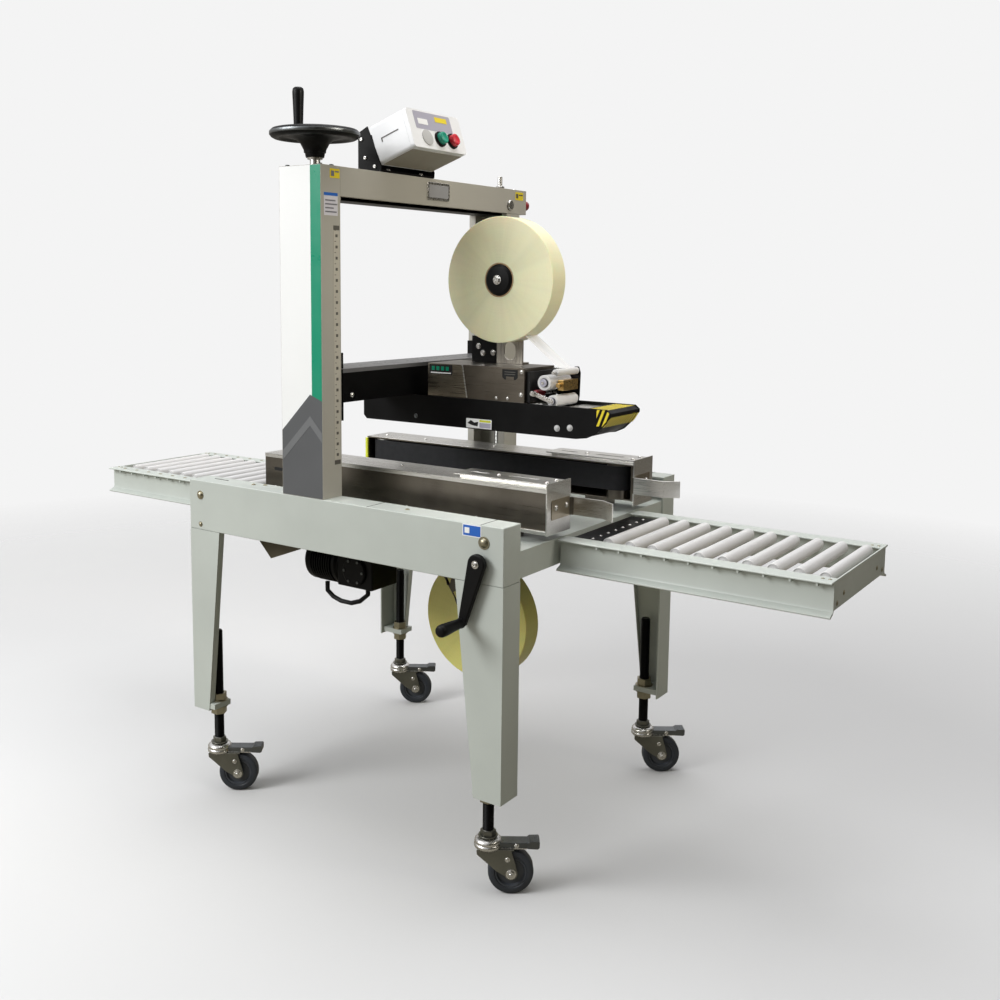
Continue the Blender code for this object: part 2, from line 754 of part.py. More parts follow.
def control_box():
    half_x, half_y, half_z = (size / 2 for size in BOX_SIZE)
    body = block("control_box", (-half_x, half_x), (-half_y, half_y), (-half_z, half_z))
    for place in (START_PLACE, STOP_PLACE):
        centre = (0, place[0] - BOX_CENTRE[1], place[1])
        floor = half_x - BUTTON_POCKET
        cut(body, rod("pocket", BUTTON_RADIUS + INSET, "x", centre, floor, half_x + BUTTON_POCKET, 24))
    body = settle(body)
    body.data.transform(box_frame())
    low = COLUMN_TOP + GAP
    y = (BOX_CENTRE[1] - half_y + SHEET, BOX_CENTRE[1] + half_y - SHEET)
    weld(body, block("bracket_back", BRACKET_X, y, (low, BRACKET_TOP)))
    y = (y[0] + INSET, y[1] - INSET)
    reach, rise = BRACKET_FOOT
    back = BRACKET_X[0] + INSET
    weld(body, block("bracket_foot", (back, reach), y, (low + INSET / 2, low + rise)))
    weld(body, block("bracket_shelf", (back, SHELF_X), y, SHELF_Z))
    finish(settle(body), BOX_WHITE)
    turn = Matrix.Rotation(-BOX_TILT, 4, "Y")
    for name, place, look in (("start_button", START_PLACE, GREEN), ("stop_button", STOP_PLACE, RED)):
        profile = [
            (BUTTON_RADIUS, -BUTTON_POCKET / 2),
            (BUTTON_RADIUS, BUTTON_REACH - THIN),
            (BUTTON_RADIUS - THIN, BUTTON_REACH),
        ]
        button = turned(name, profile, "x", (0, 0, 0), 24)
        button.data.transform(Matrix.Translation(button_centre(place)) @ turn)
        finish(button, look, button_centre(place))


def crossarm():
    low, high = ARM_X
    floor, roof = ARM_Z
    end = FRAME_Y - COLUMN_DEPTH - SHEET
    section = [
        (low, floor),
        (low, roof),
        (high, roof),
        (high, floor),
        (high - ARM_WALL, floor),
        (high - ARM_WALL, roof - ARM_WALL),
        (low + ARM_WALL, roof - ARM_WALL),
        (low + ARM_WALL, floor),
    ]
    arm = prism("crossarm", section, "y", -end + LAP, end - LAP)
    for side in (-1, 1):
        y = mirrored(side, end - CARRIAGE_SHEET, end)
        weld(arm, block("carriage", CARRIAGE_X, y, CARRIAGE_Z))
        y = mirrored(side, end - INSET, FRAME_Y - SHEET - ARM_WALL)
        weld(arm, block("nut", NECK_X, y, NUT_Z))
        y = side * SCREW_Y
        cut(arm, rod("nut_hole", SCREW_RADIUS + GAP, "z", (SCREW_X, y, 0), *CARRIAGE_Z, 20))
    half = HEAD_HALF - SHEET - GAP
    weld(arm, block("head_hanger", HEAD_HANGER_X, (-half, half), (HEAD_HANGER_FOOT, roof - THIN)))
    finish(settle(arm), BLACK, (SCREW_X, 0, ARM_Z[0]))


def head_frame():
    under = [(x, HEAD_BOTTOM + rise) for x, rise in NOSE_UNDER]
    brow = [(x, HEAD_BOTTOM + rise) for x, rise in NOSE_BROW]
    plate = [
        (HEAD_REAR, HEAD_BOTTOM + REAR_CORNER),
        (HEAD_REAR + REAR_CORNER, HEAD_BOTTOM),
        *under,
        *brow,
        (NOSE_BACK, HEAD_TOP),
        (HEAD_REAR, HEAD_TOP),
    ]
    frame = prism("head_frame", plate, "y", *mirrored(-1, HEAD_HALF - SHEET, HEAD_HALF))
    weld(frame, prism("far_plate", plate, "y", *mirrored(1, HEAD_HALF - SHEET, HEAD_HALF)))
    half = HEAD_HALF - LAP
    inner = LAP + SHEET
    ramp = [
        (RAMP_REAR, HEAD_BOTTOM + LAP),
        *[(x - INSET / 2, z + LAP) for x, z in under],
        *[(x - INSET, z) for x, z in brow],
        (NOSE_BACK - INSET, HEAD_TOP - LAP),
        (RAMP_ROOF, HEAD_TOP - LAP),
        (RAMP_ROOF, HEAD_TOP - LAP - THIN),
        (NOSE_BACK - THIN, HEAD_TOP - LAP - THIN),
        (brow[0][0] - inner, (brow[0][1] + brow[1][1]) / 2),
        *[(x - THIN, z + inner) for x, z in reversed(under)],
        (RAMP_REAR, HEAD_BOTTOM + inner),
    ]
    weld(frame, prism("nose_ramp", ramp, "y", -half, half))
    finish(settle(frame), BLACK)


def cartridge():
    half = HEAD_HALF - SHEET - GAP
    shell = block("head_cartridge", CARTRIDGE_X, (-half, half), CARTRIDGE_Z)
    x = (CARTRIDGE_X[0] + THIN, CARTRIDGE_X[1] - THIN)
    cut(shell, block("shell_space", x, (-half + THIN, half - THIN), (HEAD_BOTTOM, CARTRIDGE_Z[1] - THIN)))
    finish(settle(shell), STEEL)


def roll_mast():
    foot = CARTRIDGE_Z[1] + GAP
    low, high = MAST_X
    tip = arc((ROLL_X, ROLL_Z), MAST_TIP_RADIUS, -10, 190, 10)
    outline = [(low, foot), (high, foot), (high, MAST_SHOULDER), *tip, (low, MAST_SHOULDER)]
    mast = prism("roll_mast", outline, "y", *MAST_Y)
    x = (low + INSET, high - INSET)
    weld(mast, block("mast_foot", x, (MAST_Y[0] + INSET, MAST_FOOT_Y), (foot, foot + SHEET)))
    pin = (ROLL_X, 0, ROLL_Z)
    weld(mast, rod("roll_pin", PIN_RADIUS, "y", pin, PIN_START, MAST_Y[1] - INSET, 12))
    x, z = WINDOW_PLACE
    oval = [*arc((x, z + WINDOW_RISE), WINDOW_RADIUS, 0, 180, 8), *arc((x, z), WINDOW_RADIUS, 180, 360, 8)]
    cut(mast, prism("mast_window", oval, "y", 0, MAST_FOOT_Y - LAP))
    finish(settle(mast), STEEL)


def tape_rolls():
    low, high = ROLL_Y
    centre = (ROLL_X, 0, ROLL_Z)
    ring = [(CORE_RADIUS + GAP, low), (ROLL_RADIUS, low), (ROLL_RADIUS, high), (CORE_RADIUS + GAP, high)]
    finish(turned("tape_roll_upper", ring, "y", centre, 48, hollow=True), TAPE, centre)
    hub = [
        (HUB_BORE, low - HUB_FRONT),
        (CORE_RADIUS - HUB_RIM, low - HUB_FRONT),
        (CORE_RADIUS, low - LAP),
        (CORE_RADIUS, high + LAP),
        (HUB_BORE, high + LAP),
    ]
    finish(turned("roll_hub_upper", hub, "y", centre, 32, hollow=True), BLACK_PLASTIC, centre)
    centre = (LOWER_ROLL_X, 0, LOWER_ROLL_Z)
    ring = [(HUB_BORE, low), (ROLL_RADIUS, low), (ROLL_RADIUS, high), (HUB_BORE, high)]
    finish(turned("tape_roll_lower", ring, "y", centre, 48, hollow=True), TAPE, centre)


def apply_arm():
    pivot_x, pivot_z = ARM_PIVOT
    lug = CHEEK_TIP_RADIUS + CHAMFER
    cheek = [
        (pivot_x - lug, pivot_z - lug),
        (pivot_x + CHAMFER, pivot_z - lug),
        *arc(WIPE_PLACE, lug, 225, 380, 4),
        *arc(APPLY_PLACE, lug, 0, 10, 1),
        *arc(CHEEK_TIP, CHEEK_TIP_RADIUS, -45, 135, 4),
        (APPLY_PLACE[0] - lug, APPLY_PLACE[1] + lug),
        (pivot_x - lug, pivot_z + lug),
    ]
    low, high = CHEEK_Y
    pin_end = high - INSET / 2
    arm = prism("apply_arm", cheek, "y", -high, -low)
    weld(arm, prism("far_cheek", cheek, "y", low, high))
    weld(arm, rod("arm_pivot", PIVOT_RADIUS, "y", (pivot_x, 0, pivot_z), -PIVOT_HALF, PIVOT_HALF, 14))
    bar = (BAR_PLACE[0], 0, BAR_PLACE[1])
    weld(arm, rod("tape_bar", BAR_RADIUS, "y", bar, -pin_end, pin_end, 12))
    for x, z in (APPLY_PLACE, WIPE_PLACE):
        weld(arm, rod("roller_pin", ROLLER_PIN_RADIUS, "y", (x, 0, z), -pin_end, pin_end, 10))
    finish(settle(arm), STEEL, (pivot_x, 0, pivot_z))
    bore = ROLLER_BORE
    rollers = (("apply_roller", APPLY_PLACE, APPLY_RADIUS), ("wipe_roller", WIPE_PLACE, WIPE_RADIUS))
    for name, place, radius in rollers:
        half = APPLY_HALF
        profile = [(bore, -half), (radius, -half), (radius, half), (bore, half)]
        centre = (place[0], 0, place[1])
        finish(turned(name, profile, "y", centre, 20, hollow=True), ROLLER_WHITE, centre)


def belt_drive(label, side):
    inner, outer = DRIVE_Y
    floor, roof = DRIVE_Z
    wall = THIN
    outline = [
        (side * outer, floor),
        (side * outer, roof),
        (side * (BELT_FACE + THIN), roof),
        (side * (BELT_FACE + THIN), roof - wall),
        (side * (outer - wall), roof - wall),
        (side * (outer - wall), floor + wall),
        (side * inner, floor + wall),
        (side * inner, floor),
    ]
    name = f"{label}_belt_housing"
    housing = prism(name, outline, "x", *DRIVE_X)
    for x in ((DRIVE_X[0], DRIVE_X[0] + wall), (DRIVE_X[1] - END_CAP, DRIVE_X[1])):
        y = mirrored(side, END_INNER, outer - INSET)
        weld(housing, block(f"{label}_end", x, y, (floor + INSET, roof - INSET)))
    for place in FOOT_PLACES:
        x = (place - FOOT_HALF[0], place + FOOT_HALF[0])
        y = mirrored(side, outer - 2 * FOOT_HALF[1], FOOT_OUTER)
        weld(housing, block(f"{label}_foot", x, y, (BED_TOP + GAP, floor + LAP)))
    face = BELT_FACE
    back = BELT_FACE + THIN
    root = DRIVE_X[1] + GUIDE_ROOT
    strip = [
        (DRIVE_X[1] - SHEET, side * (back + 2 * THIN)),
        (DRIVE_X[1] - SHEET, side * (back + THIN)),
        (root, side * face),
        (GUIDE_BEND, side * face),
        (GUIDE_X, side * (face + GUIDE_FLARE)),
        (GUIDE_X - INSET, side * (back + GUIDE_FLARE)),
        (GUIDE_BEND - INSET, side * back),
        (root, side * back),
        (DRIVE_X[1] + LAP, side * (back + GUIDE_ROOT)),
    ]
    weld(housing, prism(f"{label}_guide", strip, "z", *GUIDE_Z))
    half = (BELT_BACK - BELT_FACE) / 2
    centre = side * (BELT_BACK + BELT_FACE) / 2
    low = BELT_X[0] + half + wall
    high = BELT_X[1] - half - SHEET
    radius = half - BELT_SHEET - GAP
    weld(housing, rod(f"{label}_nose_bar", radius, "z", (high, centre, 0), floor + INSET, roof - INSET, 24))
    y = side * (inner + outer) / 2
    finish(settle(housing), STEEL, (SCREW_X, y, floor))
    outside = [*arc((high, centre), half, -90, 90, 12), *arc((low, centre), half, 90, 270, 12)]
    thin = half - BELT_SHEET
    inside = [*arc((high, centre), thin, -90, 90, 12), *arc((low, centre), thin, 90, 270, 12)]
    belt = prism(f"{label}_belt", outside, "z", *BELT_Z)
    cut(belt, prism(f"{label}_belt_inside", inside, "z", BELT_Z[0] - SHEET, BELT_Z[1] + SHEET))
    finish(settle(belt), RUBBER)
    drum = [(radius, BELT_Z[0] - DRUM_OVERHANG), (radius, BELT_Z[1] + LAP)]
    pulley = turned(f"{label}_belt_pulley", drum, "z", (low, centre, 0), 24)
    finish(pulley, ZINC, (low, centre, BELT_Z[0]))


def crank():
    shaft = rod("width_crank", CRANK_SHAFT, "y", (CRANK_X, 0, CRANK_Z), CRANK_Y[0] + LAP, CRANK_SHAFT_END, 16)
    lean = math.atan2(CRANK_END[1] - CRANK_Z, CRANK_END[0] - CRANK_X)
    turn = math.degrees(lean)
    arm = [
        *arc((CRANK_X, CRANK_Z), CRANK_HUB, turn + 90, turn + 270, 12),
        *arc(CRANK_END, CRANK_TIP, turn - 90, turn + 90, 8),
    ]
    weld(shaft, prism("crank_arm", arm, "y", *CRANK_Y))
    low = CRANK_GRIP_END
    grip = [
        (CRANK_GRIP_TIP, low),
        (CRANK_GRIP_RADIUS - INSET / 2, low + CHAMFER),
        (CRANK_GRIP_RADIUS, low + CRANK_GRIP_BULGE),
        (CRANK_GRIP_FOOT, CRANK_Y[0] - CHAMFER),
        (CRANK_GRIP_NECK, CRANK_Y[0] + CHAMFER),
    ]
    weld(shaft, turned("crank_grip", grip, "y", (CRANK_END[0], 0, CRANK_END[1]), 16))
    finish(settle(shaft), BLACK_PLASTIC, (CRANK_X, -FRAME_Y, CRANK_Z))


def drive_motor():
    low, high = MOTOR_X
    radius = MOTOR_RADIUS
    profile = [
        (radius - FAN_CHAMFER, low),
        (radius - MOTOR_STEP, low + FAN_COVER[0]),
        (radius - MOTOR_STEP, low + FAN_COVER[1]),
        (radius, low + FAN_COVER[1] + LAP),
        (radius, high - MOTOR_FLANGE - LAP),
        (radius - 2 * MOTOR_STEP, high - MOTOR_FLANGE),
        (radius - 2 * MOTOR_STEP, high),
    ]
    motor = turned("drive_motor", profile, "x", (0, MOTOR_Y, MOTOR_Z), 28)
    x = (high - LAP, GEARBOX_X)
    y = (MOTOR_Y - GEARBOX_HALF, MOTOR_Y + GEARBOX_HALF)
    weld(motor, block("gearbox", x, y, (MOTOR_Z - GEARBOX_DROP, BED_TOP - BED_SHEET - GAP)))
    y = (MOTOR_Y - TERMINAL_HALF, MOTOR_Y + TERMINAL_HALF)
    z = (MOTOR_Z + TERMINAL_RISE[0], MOTOR_Z + TERMINAL_RISE[1])
    weld(motor, block("terminal_box", TERMINAL_X, y, z))
    finish(settle(motor), BLACK)


def motor_lead():
    y = MOTOR_Y - LEAD_OFFSET
    under = MOTOR_Z - math.sqrt(MOTOR_RADIUS**2 - LEAD_OFFSET**2) - LEAD_RADIUS
    route = [
        (LEAD_START_X, y, under + THIN),
        (LEAD_START_X, y, under - LEAD_OFFSET),
        *[(x, y, z) for x, z in LEAD_BENDS],
        (LEAD_BENDS[-1][0], y, MOTOR_Z - GEARBOX_DROP - GAP),
    ]
    curve = bpy.data.curves.new("motor_lead", "CURVE")
    curve.dimensions = "3D"
    curve.bevel_depth = LEAD_RADIUS
    curve.bevel_resolution = 2
    curve.use_fill_caps = True
    line = curve.splines.new("POLY")
    line.points.add(len(route) - 1)
    for point, place in zip(line.points, route):
        point.co = (*place, 1.0)
    finish(as_mesh(link("motor_lead", curve)), BLACK_PLASTIC)


def lower_head():
    half = BED_SLOT_Y - GAP
    low, high = BED_SLOT_X
    top = BED_TOP + LAP
    head = block("lower_head", (low + INSET, high - INSET), (-half, half), (LOWER_HEAD_BOTTOM, top))
    y = (-half + THIN, half - THIN)
    x = (low + LOWER_HEAD_WALLS[0], high - LOWER_HEAD_WALLS[1])
    cut(head, block("lower_space", x, y, (LOWER_HEAD_BOTTOM - SHEET, top + SHEET)))
    brace = [
        (BRACE_ROOT[0], BRACE_TOP),
        (BRACE_ROOT[1], BRACE_TOP),
        (LOWER_ROLL_X + BRACE_FOOT[0], LOWER_ROLL_Z - BRACE_FOOT[1]),
        (LOWER_ROLL_X - BRACE_FOOT[0], LOWER_ROLL_Z - BRACE_FOOT[1]),
    ]
    for side in (-1, 1):
        weld(head, prism("roll_brace", brace, "y", *mirrored(side, *BRACE_Y)))
    pin = (LOWER_ROLL_X, 0, LOWER_ROLL_Z)
    weld(head, rod("lower_pin", PIN_RADIUS, "y", pin, -LOWER_PIN_HALF, LOWER_PIN_HALF, 12))
    finish(settle(head), BLACK)


def rail_outline(side):
    """Channel open to the outside, with a level top flange and a bottom lip that slopes down and out."""
    outer = RAIL_HALF
    web = RAIL_WEB
    wall = THIN
    points = [
        (outer - RAIL_FLANGE, BED_TOP),
        (outer, BED_TOP),
        (outer, BED_TOP - SHEET),
        (web, BED_TOP - SHEET - INSET / 2),
        (web, RAIL_BOTTOM + RAIL_LIP_RISE),
        (outer, RAIL_BOTTOM + RAIL_LIP),
        (outer, RAIL_BOTTOM),
        (outer - LAP, RAIL_BOTTOM),
        (web - wall, RAIL_BOTTOM + RAIL_LIP_RISE - SHEET),
        (web - wall, BED_TOP - wall),
        (outer - RAIL_FLANGE, BED_TOP - wall),
    ]
    return [(side * y, z) for y, z in points]


def conveyor(name, end):
    start = FRAME_X + GAP
    x = mirrored(end, start, CONVEYOR_END)
    frame = prism(name, rail_outline(-1), "x", *x)
    weld(frame, prism("far_rail", rail_outline(1), "x", *x))
    half = RAIL_WEB - INSET
    for near, far, roof in (
        (CONVEYOR_END - SHEET, CONVEYOR_END - INSET / 2, BED_TOP - INSET),
        (start + INSET / 2, start + SHEET, BED_TOP - THROAT_DROP),
    ):
        z = (RAIL_BOTTOM + RAIL_LIP_RISE + LAP, roof)
        weld(frame, block("end_plate", mirrored(end, near, far), (-half, half), z))
    if end < 0:
        for index in range(ROLLER_COUNT):
            x = end * (ROLLER_FIRST - EXIT_SHIFT + index * ROLLER_PITCH)
            roller = [
                (JOURNAL_RADIUS, -half),
                (JOURNAL_RADIUS, -ROLLER_HALF),
                (ROLLER_RADIUS, -ROLLER_HALF),
                (ROLLER_RADIUS, ROLLER_HALF),
                (JOURNAL_RADIUS, ROLLER_HALF),
                (JOURNAL_RADIUS, half),
            ]
            weld(frame, turned("exit_roller", roller, "y", (x, 0, ROLLER_Z), 12))
    finish(settle(frame), FRAME_PAINT)


def infeed_rollers():
    reach = RAIL_HALF - RAIL_FLANGE - GAP
    for index in range(ROLLER_COUNT):
        x = ROLLER_FIRST + index * ROLLER_PITCH
        profile = [
            (JOURNAL_RADIUS, -reach),
            (JOURNAL_RADIUS, -ROLLER_HALF),
            (ROLLER_RADIUS, -ROLLER_HALF),
            (ROLLER_RADIUS, ROLLER_HALF),
            (JOURNAL_RADIUS, ROLLER_HALF),
            (JOURNAL_RADIUS, reach),
        ]
        name = f"infeed_roller_{index + 1:02d}"
        centre = (x, 0, ROLLER_Z)
        finish(turned(name, profile, "y", centre, 16), ROLLER_WHITE, centre)


def main():
    for label, side in SIDES.items():
        side_panel(f"{label}_side_panel", side)
        column(f"{label}_column", side)
        lead_screw(f"lead_screw_{label}", side)
        belt_drive(label, side)
        for place, end in ENDS.items():
            leg(f"leg_{label}_{place}", side, end)
            caster(f"{label}_{place}", side, end)
    bed_frame()
    top_beam()
    handwheel()
    control_box()
    crossarm()
    head_frame()
    cartridge()
    roll_mast()
    tape_rolls()
    apply_arm()
    crank()
    drive_motor()
    motor_lead()
    lower_head()
    conveyor("infeed_conveyor", 1)
    conveyor("exit_conveyor", -1)
    infeed_rollers()
    for obj in PARTS.objects:
        obj.location.y += MIDLINE_Y


main()
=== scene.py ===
"""Looks of a semi-automatic carton sealer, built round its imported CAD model.

Metres, +Z up. The infeed end is at +X and the crank side is at -Y. Every piece is made in the row frame.
"""

import math

import bmesh
import bpy
from mathutils import Matrix, Vector


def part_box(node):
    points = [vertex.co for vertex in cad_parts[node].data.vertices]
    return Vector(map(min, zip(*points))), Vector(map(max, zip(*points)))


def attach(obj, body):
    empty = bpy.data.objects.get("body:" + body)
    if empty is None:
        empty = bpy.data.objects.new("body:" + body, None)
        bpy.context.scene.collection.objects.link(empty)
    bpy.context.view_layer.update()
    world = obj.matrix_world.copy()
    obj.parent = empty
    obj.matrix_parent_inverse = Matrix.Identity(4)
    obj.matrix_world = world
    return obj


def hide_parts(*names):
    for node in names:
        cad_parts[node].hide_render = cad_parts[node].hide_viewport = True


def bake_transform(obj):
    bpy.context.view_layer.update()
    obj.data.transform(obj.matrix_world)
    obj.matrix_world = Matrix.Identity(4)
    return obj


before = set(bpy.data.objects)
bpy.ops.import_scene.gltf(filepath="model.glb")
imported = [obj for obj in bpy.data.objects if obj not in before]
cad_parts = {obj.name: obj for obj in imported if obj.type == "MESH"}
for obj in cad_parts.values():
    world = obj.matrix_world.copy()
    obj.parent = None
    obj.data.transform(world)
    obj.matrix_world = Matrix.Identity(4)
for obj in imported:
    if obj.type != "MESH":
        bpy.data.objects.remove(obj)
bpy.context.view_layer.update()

SKIN = 0.0004            # thickness of a label or of a painted patch
TURN_TO = {
    "x": Matrix.Rotation(math.pi / 2, 4, "Y"),
    "y": Matrix.Rotation(-math.pi / 2, 4, "X"),
    "z": Matrix.Identity(4),
}
SIDES = {"near": -1, "far": 1}
ENDS = {"infeed": 1, "exit": -1}
QUARTER_TURN = [math.radians(15 * step) for step in range(7)]
FRAME_Y = 0.413
MIDLINE = 0.0325         # where the conveyors' middle line lies in the CAD; pieces are measured from it
ACROSS = Vector((0, MIDLINE, 0))
CASTER_TURN = math.radians(35)
PANEL_TOP = 0.824
ROLLER_COUNT = 10
ROLLER_HALF = 0.143
ROLLER_BORE = 0.0045
ROLLER_SHAFT = 0.0042
EXIT_FIRST = 0.557       # distance of the first exit roller from the middle
EXIT_PITCH = 0.0533
EXIT_ROLLER_Z = 0.7545
EXIT_ROLLER_RADIUS = 0.0135
EXIT_SHAFT_HALF = 0.1785
CAMERA_PLACE = (1.7, -2.288 + MIDLINE, 1.325)
CAMERA_AZIMUTH = math.radians(35.0)
CAMERA_DOWN = math.radians(7.114)
CAMERA_ROLL = math.radians(0.486)


# ---------------------------------------------------------------- shapes


class Shape:
    """A mesh under construction. Each method adds one closed form and returns the shape."""

    def __init__(self):
        self.mesh = bmesh.new()

    def absorb(self, part, matrix=None):
        if matrix is not None:
            bmesh.ops.transform(part, matrix=matrix, verts=part.verts)
        bmesh.ops.recalc_face_normals(part, faces=part.faces)
        held = bpy.data.meshes.new("held")
        part.to_mesh(held)
        part.free()
        self.mesh.from_mesh(held)
        bpy.data.meshes.remove(held)
        return self

    def box(self, x, y, z, matrix=None):
        part = bmesh.new()
        centre = Vector(((x[0] + x[1]) / 2, (y[0] + y[1]) / 2, (z[0] + z[1]) / 2))
        size = (abs(x[1] - x[0]), abs(y[1] - y[0]), abs(z[1] - z[0]))
        bmesh.ops.create_cube(
            part,
            size=1.0,
            matrix=Matrix.Translation(centre) @ Matrix.Diagonal((*size, 1.0)),
        )
        return self.absorb(part, matrix)

    def rod(self, start, end, radius, segments=32, tip=None):
        start = Vector(start)
        along = Vector(end) - start
        part = bmesh.new()
        bmesh.ops.create_cone(
            part,
            cap_ends=True,
            segments=segments,
            radius1=radius,
            radius2=radius if tip is None else tip,
            depth=along.length,
        )
        turn = along.to_track_quat("Z", "Y").to_matrix().to_4x4()
        return self.absorb(part, Matrix.Translation(start + along / 2) @ turn)

    def turned(self, profile, centre, axis="z", segments=64):
        """Spins (radius, height) points round an axis. A profile that is off the axis is a closed ring."""
        part = bmesh.new()
        verts = [part.verts.new((radius, 0.0, height)) for radius, height in profile]
        edges = [part.edges.new(pair) for pair in zip(verts, verts[1:])]
        if profile[0][0] > 0 and profile[-1][0] > 0:
            edges.append(part.edges.new((verts[-1], verts[0])))
        bmesh.ops.spin(
            part,
            geom=verts + edges,
            cent=(0, 0, 0),
            axis=(0, 0, 1),
            angle=math.tau,
            steps=segments,
            use_merge=True,
        )
        bmesh.ops.remove_doubles(part, verts=part.verts, dist=0.000001)
        return self.absorb(part, Matrix.Translation(Vector(centre)) @ TURN_TO[axis])

    def flat(self, outlines, axis, start, end, matrix=None):
        """Extrudes filled outlines along an axis. A point gives the other coordinates, in x, y, z order."""
        curve = bpy.data.curves.new("outline", "CURVE")
        curve.dimensions = "2D"
        curve.fill_mode = "BOTH"
        curve.extrude = abs(end - start) / 2
        for outline in outlines:
            line = curve.splines.new("POLY")
            line.points.add(len(outline) - 1)
            for point, (u, v) in zip(line.points, outline):
                point.co = (u, v, 0.0, 1.0)
            line.use_cyclic_u = True
        held = bpy.data.objects.new("outline", curve)
        bpy.context.scene.collection.objects.link(held)
        graph = bpy.context.evaluated_depsgraph_get()
        mesh = bpy.data.meshes.new_from_object(held.evaluated_get(graph))
        part = bmesh.new()
        part.from_mesh(mesh)
        bpy.data.meshes.remove(mesh)
        bpy.data.objects.remove(held)
        bpy.data.curves.remove(curve)
        bmesh.ops.remove_doubles(part, verts=part.verts, dist=0.00001)
        bmesh.ops.dissolve_limit(part, angle_limit=math.radians(0.5), verts=part.verts, edges=part.edges)
        middle = (start + end) / 2
        place = {
            "x": Matrix(((0, 0, 1, middle), (1, 0, 0, 0), (0, 1, 0, 0), (0, 0, 0, 1))),
            "y": Matrix(((1, 0, 0, 0), (0, 0, -1, middle), (0, 1, 0, 0), (0, 0, 0, 1))),
            "z": Matrix.Translation((0, 0, middle)),
        }[axis]
        return self.absorb(part, place if matrix is None else matrix @ place)

    def bolt(self, place, towards, radius=0.006, height=0.004, sides=0):
        """A socket screw, or with sides=6 a hexagon head on a washer."""
        facing = Vector(towards).normalized().to_track_quat("Z", "Y").to_matrix().to_4x4()
        matrix = Matrix.Translation(Vector(place)) @ facing
        part = Shape()
        if sides:
            part.turned(
                [(0, 0), (radius * 1.35, 0), (radius * 1.35, height * 0.25), (0, height * 0.25)],
                (0, 0, 0),
            )
            part.rod((0, 0, height * 0.2), (0, 0, height), radius, sides)
        else:
            part.turned(
                [
                    (0, 0),
                    (radius, 0),
                    (radius, height * 0.7),
                    (radius * 0.82, height),
                    (radius * 0.45, height),
                    (radius * 0.4, height * 0.45),
                    (0, height * 0.45),
                ],
                (0, 0, 0),
                segments=24,
            )
        return self.absorb(part.mesh, matrix)

    def dome(self, place, towards, radius, height):
        """A round mushroom head on a thin washer."""
        facing = Vector(towards).normalized().to_track_quat("Z", "Y").to_matrix().to_4x4()
        part = Shape()
        part.turned([(0, 0), (radius * 1.3, 0), (radius * 1.3, height * 0.2), (0, height * 0.2)], (0, 0, 0))
        crown = [(radius * math.cos(turn), height * (0.2 + 0.8 * math.sin(turn))) for turn in QUARTER_TURN]
        part.turned([(0, height * 0.15), (radius, height * 0.15), *crown], (0, 0, 0), segments=32)
        return self.absorb(part.mesh, Matrix.Translation(Vector(place)) @ facing)

    def nut(self, place, radius, height):
        """A hexagon nut with its chamfered corners, standing on its place along Z."""
        place = Vector(place)
        self.rod(place, place + Vector((0, 0, height)), radius, 6)
        face = place + Vector((0, 0, height))
        return self.rod(face, face + Vector((0, 0, height * 0.12)), radius * 0.84, 24, radius * 0.76)

    def tube(self, points, radius, sides=4, cyclic=False):
        curve = bpy.data.curves.new("tube", "CURVE")
        curve.dimensions = "3D"
        curve.bevel_depth = radius
        curve.bevel_resolution = sides
        curve.use_fill_caps = True
        curve.resolution_u = 8
        line = curve.splines.new("BEZIER")
        line.bezier_points.add(len(points) - 1)
        for knot, place in zip(line.bezier_points, points):
            knot.co = place
            knot.handle_left_type = "AUTO"
            knot.handle_right_type = "AUTO"
        line.use_cyclic_u = cyclic
        held = bpy.data.objects.new("tube", curve)
        bpy.context.scene.collection.objects.link(held)
        graph = bpy.context.evaluated_depsgraph_get()
        mesh = bpy.data.meshes.new_from_object(held.evaluated_get(graph))
        part = bmesh.new()
        part.from_mesh(mesh)
        bpy.data.meshes.remove(mesh)
        bpy.data.objects.remove(held)
        bpy.data.curves.remove(curve)
        bmesh.ops.remove_doubles(part, verts=part.verts, dist=0.00001)
        return self.absorb(part)

    def swing(self, x, y, angle):
        """Turns the shape about an upright axis."""
        place = Matrix.Translation((x, y, 0)) @ Matrix.Rotation(
            angle,
            4,
            "Z",
        ) @ Matrix.Translation((-x, -y, 0))
        bmesh.ops.transform(self.mesh, matrix=place, verts=self.mesh.verts)
        return self

    def make(self, name, body, look, slot=None, edge=0.0006, stands_for=(), smooth=32):
        """Turns the shape into a piece that rides on a body, if one is given, with its edges rounded."""
        mesh = bpy.data.meshes.new(name)
        bmesh.ops.translate(self.mesh, vec=ACROSS, verts=self.mesh.verts)
        self.mesh.to_mesh(mesh)
        self.mesh.free()
        for face in mesh.polygons:
            face.use_smooth = True
        mesh.set_sharp_from_angle(angle=math.radians(smooth))
        piece = bpy.data.objects.new(name, mesh)
        bpy.context.scene.collection.objects.link(piece)
        mesh.materials.append(look)
        if edge:
            round_edges(piece, edge)
        if body:
            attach(piece, body)
        if stands_for:
            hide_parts(*stands_for)
        return piece


def round_edges(piece, width):
    bevel = piece.modifiers.new("edges", "BEVEL")
    bevel.width = width
    bevel.segments = 2
    bevel.limit_method = "ANGLE"
    bevel.angle_limit = math.radians(32)
    bevel.harden_normals = True


def arc(centre, radius, start, end, steps):
    points = []
    for step in range(steps + 1):
        angle = math.radians(start + (end - start) * step / steps)
        points.append((centre[0] + radius * math.cos(angle), centre[1] + radius * math.sin(angle)))
    return points


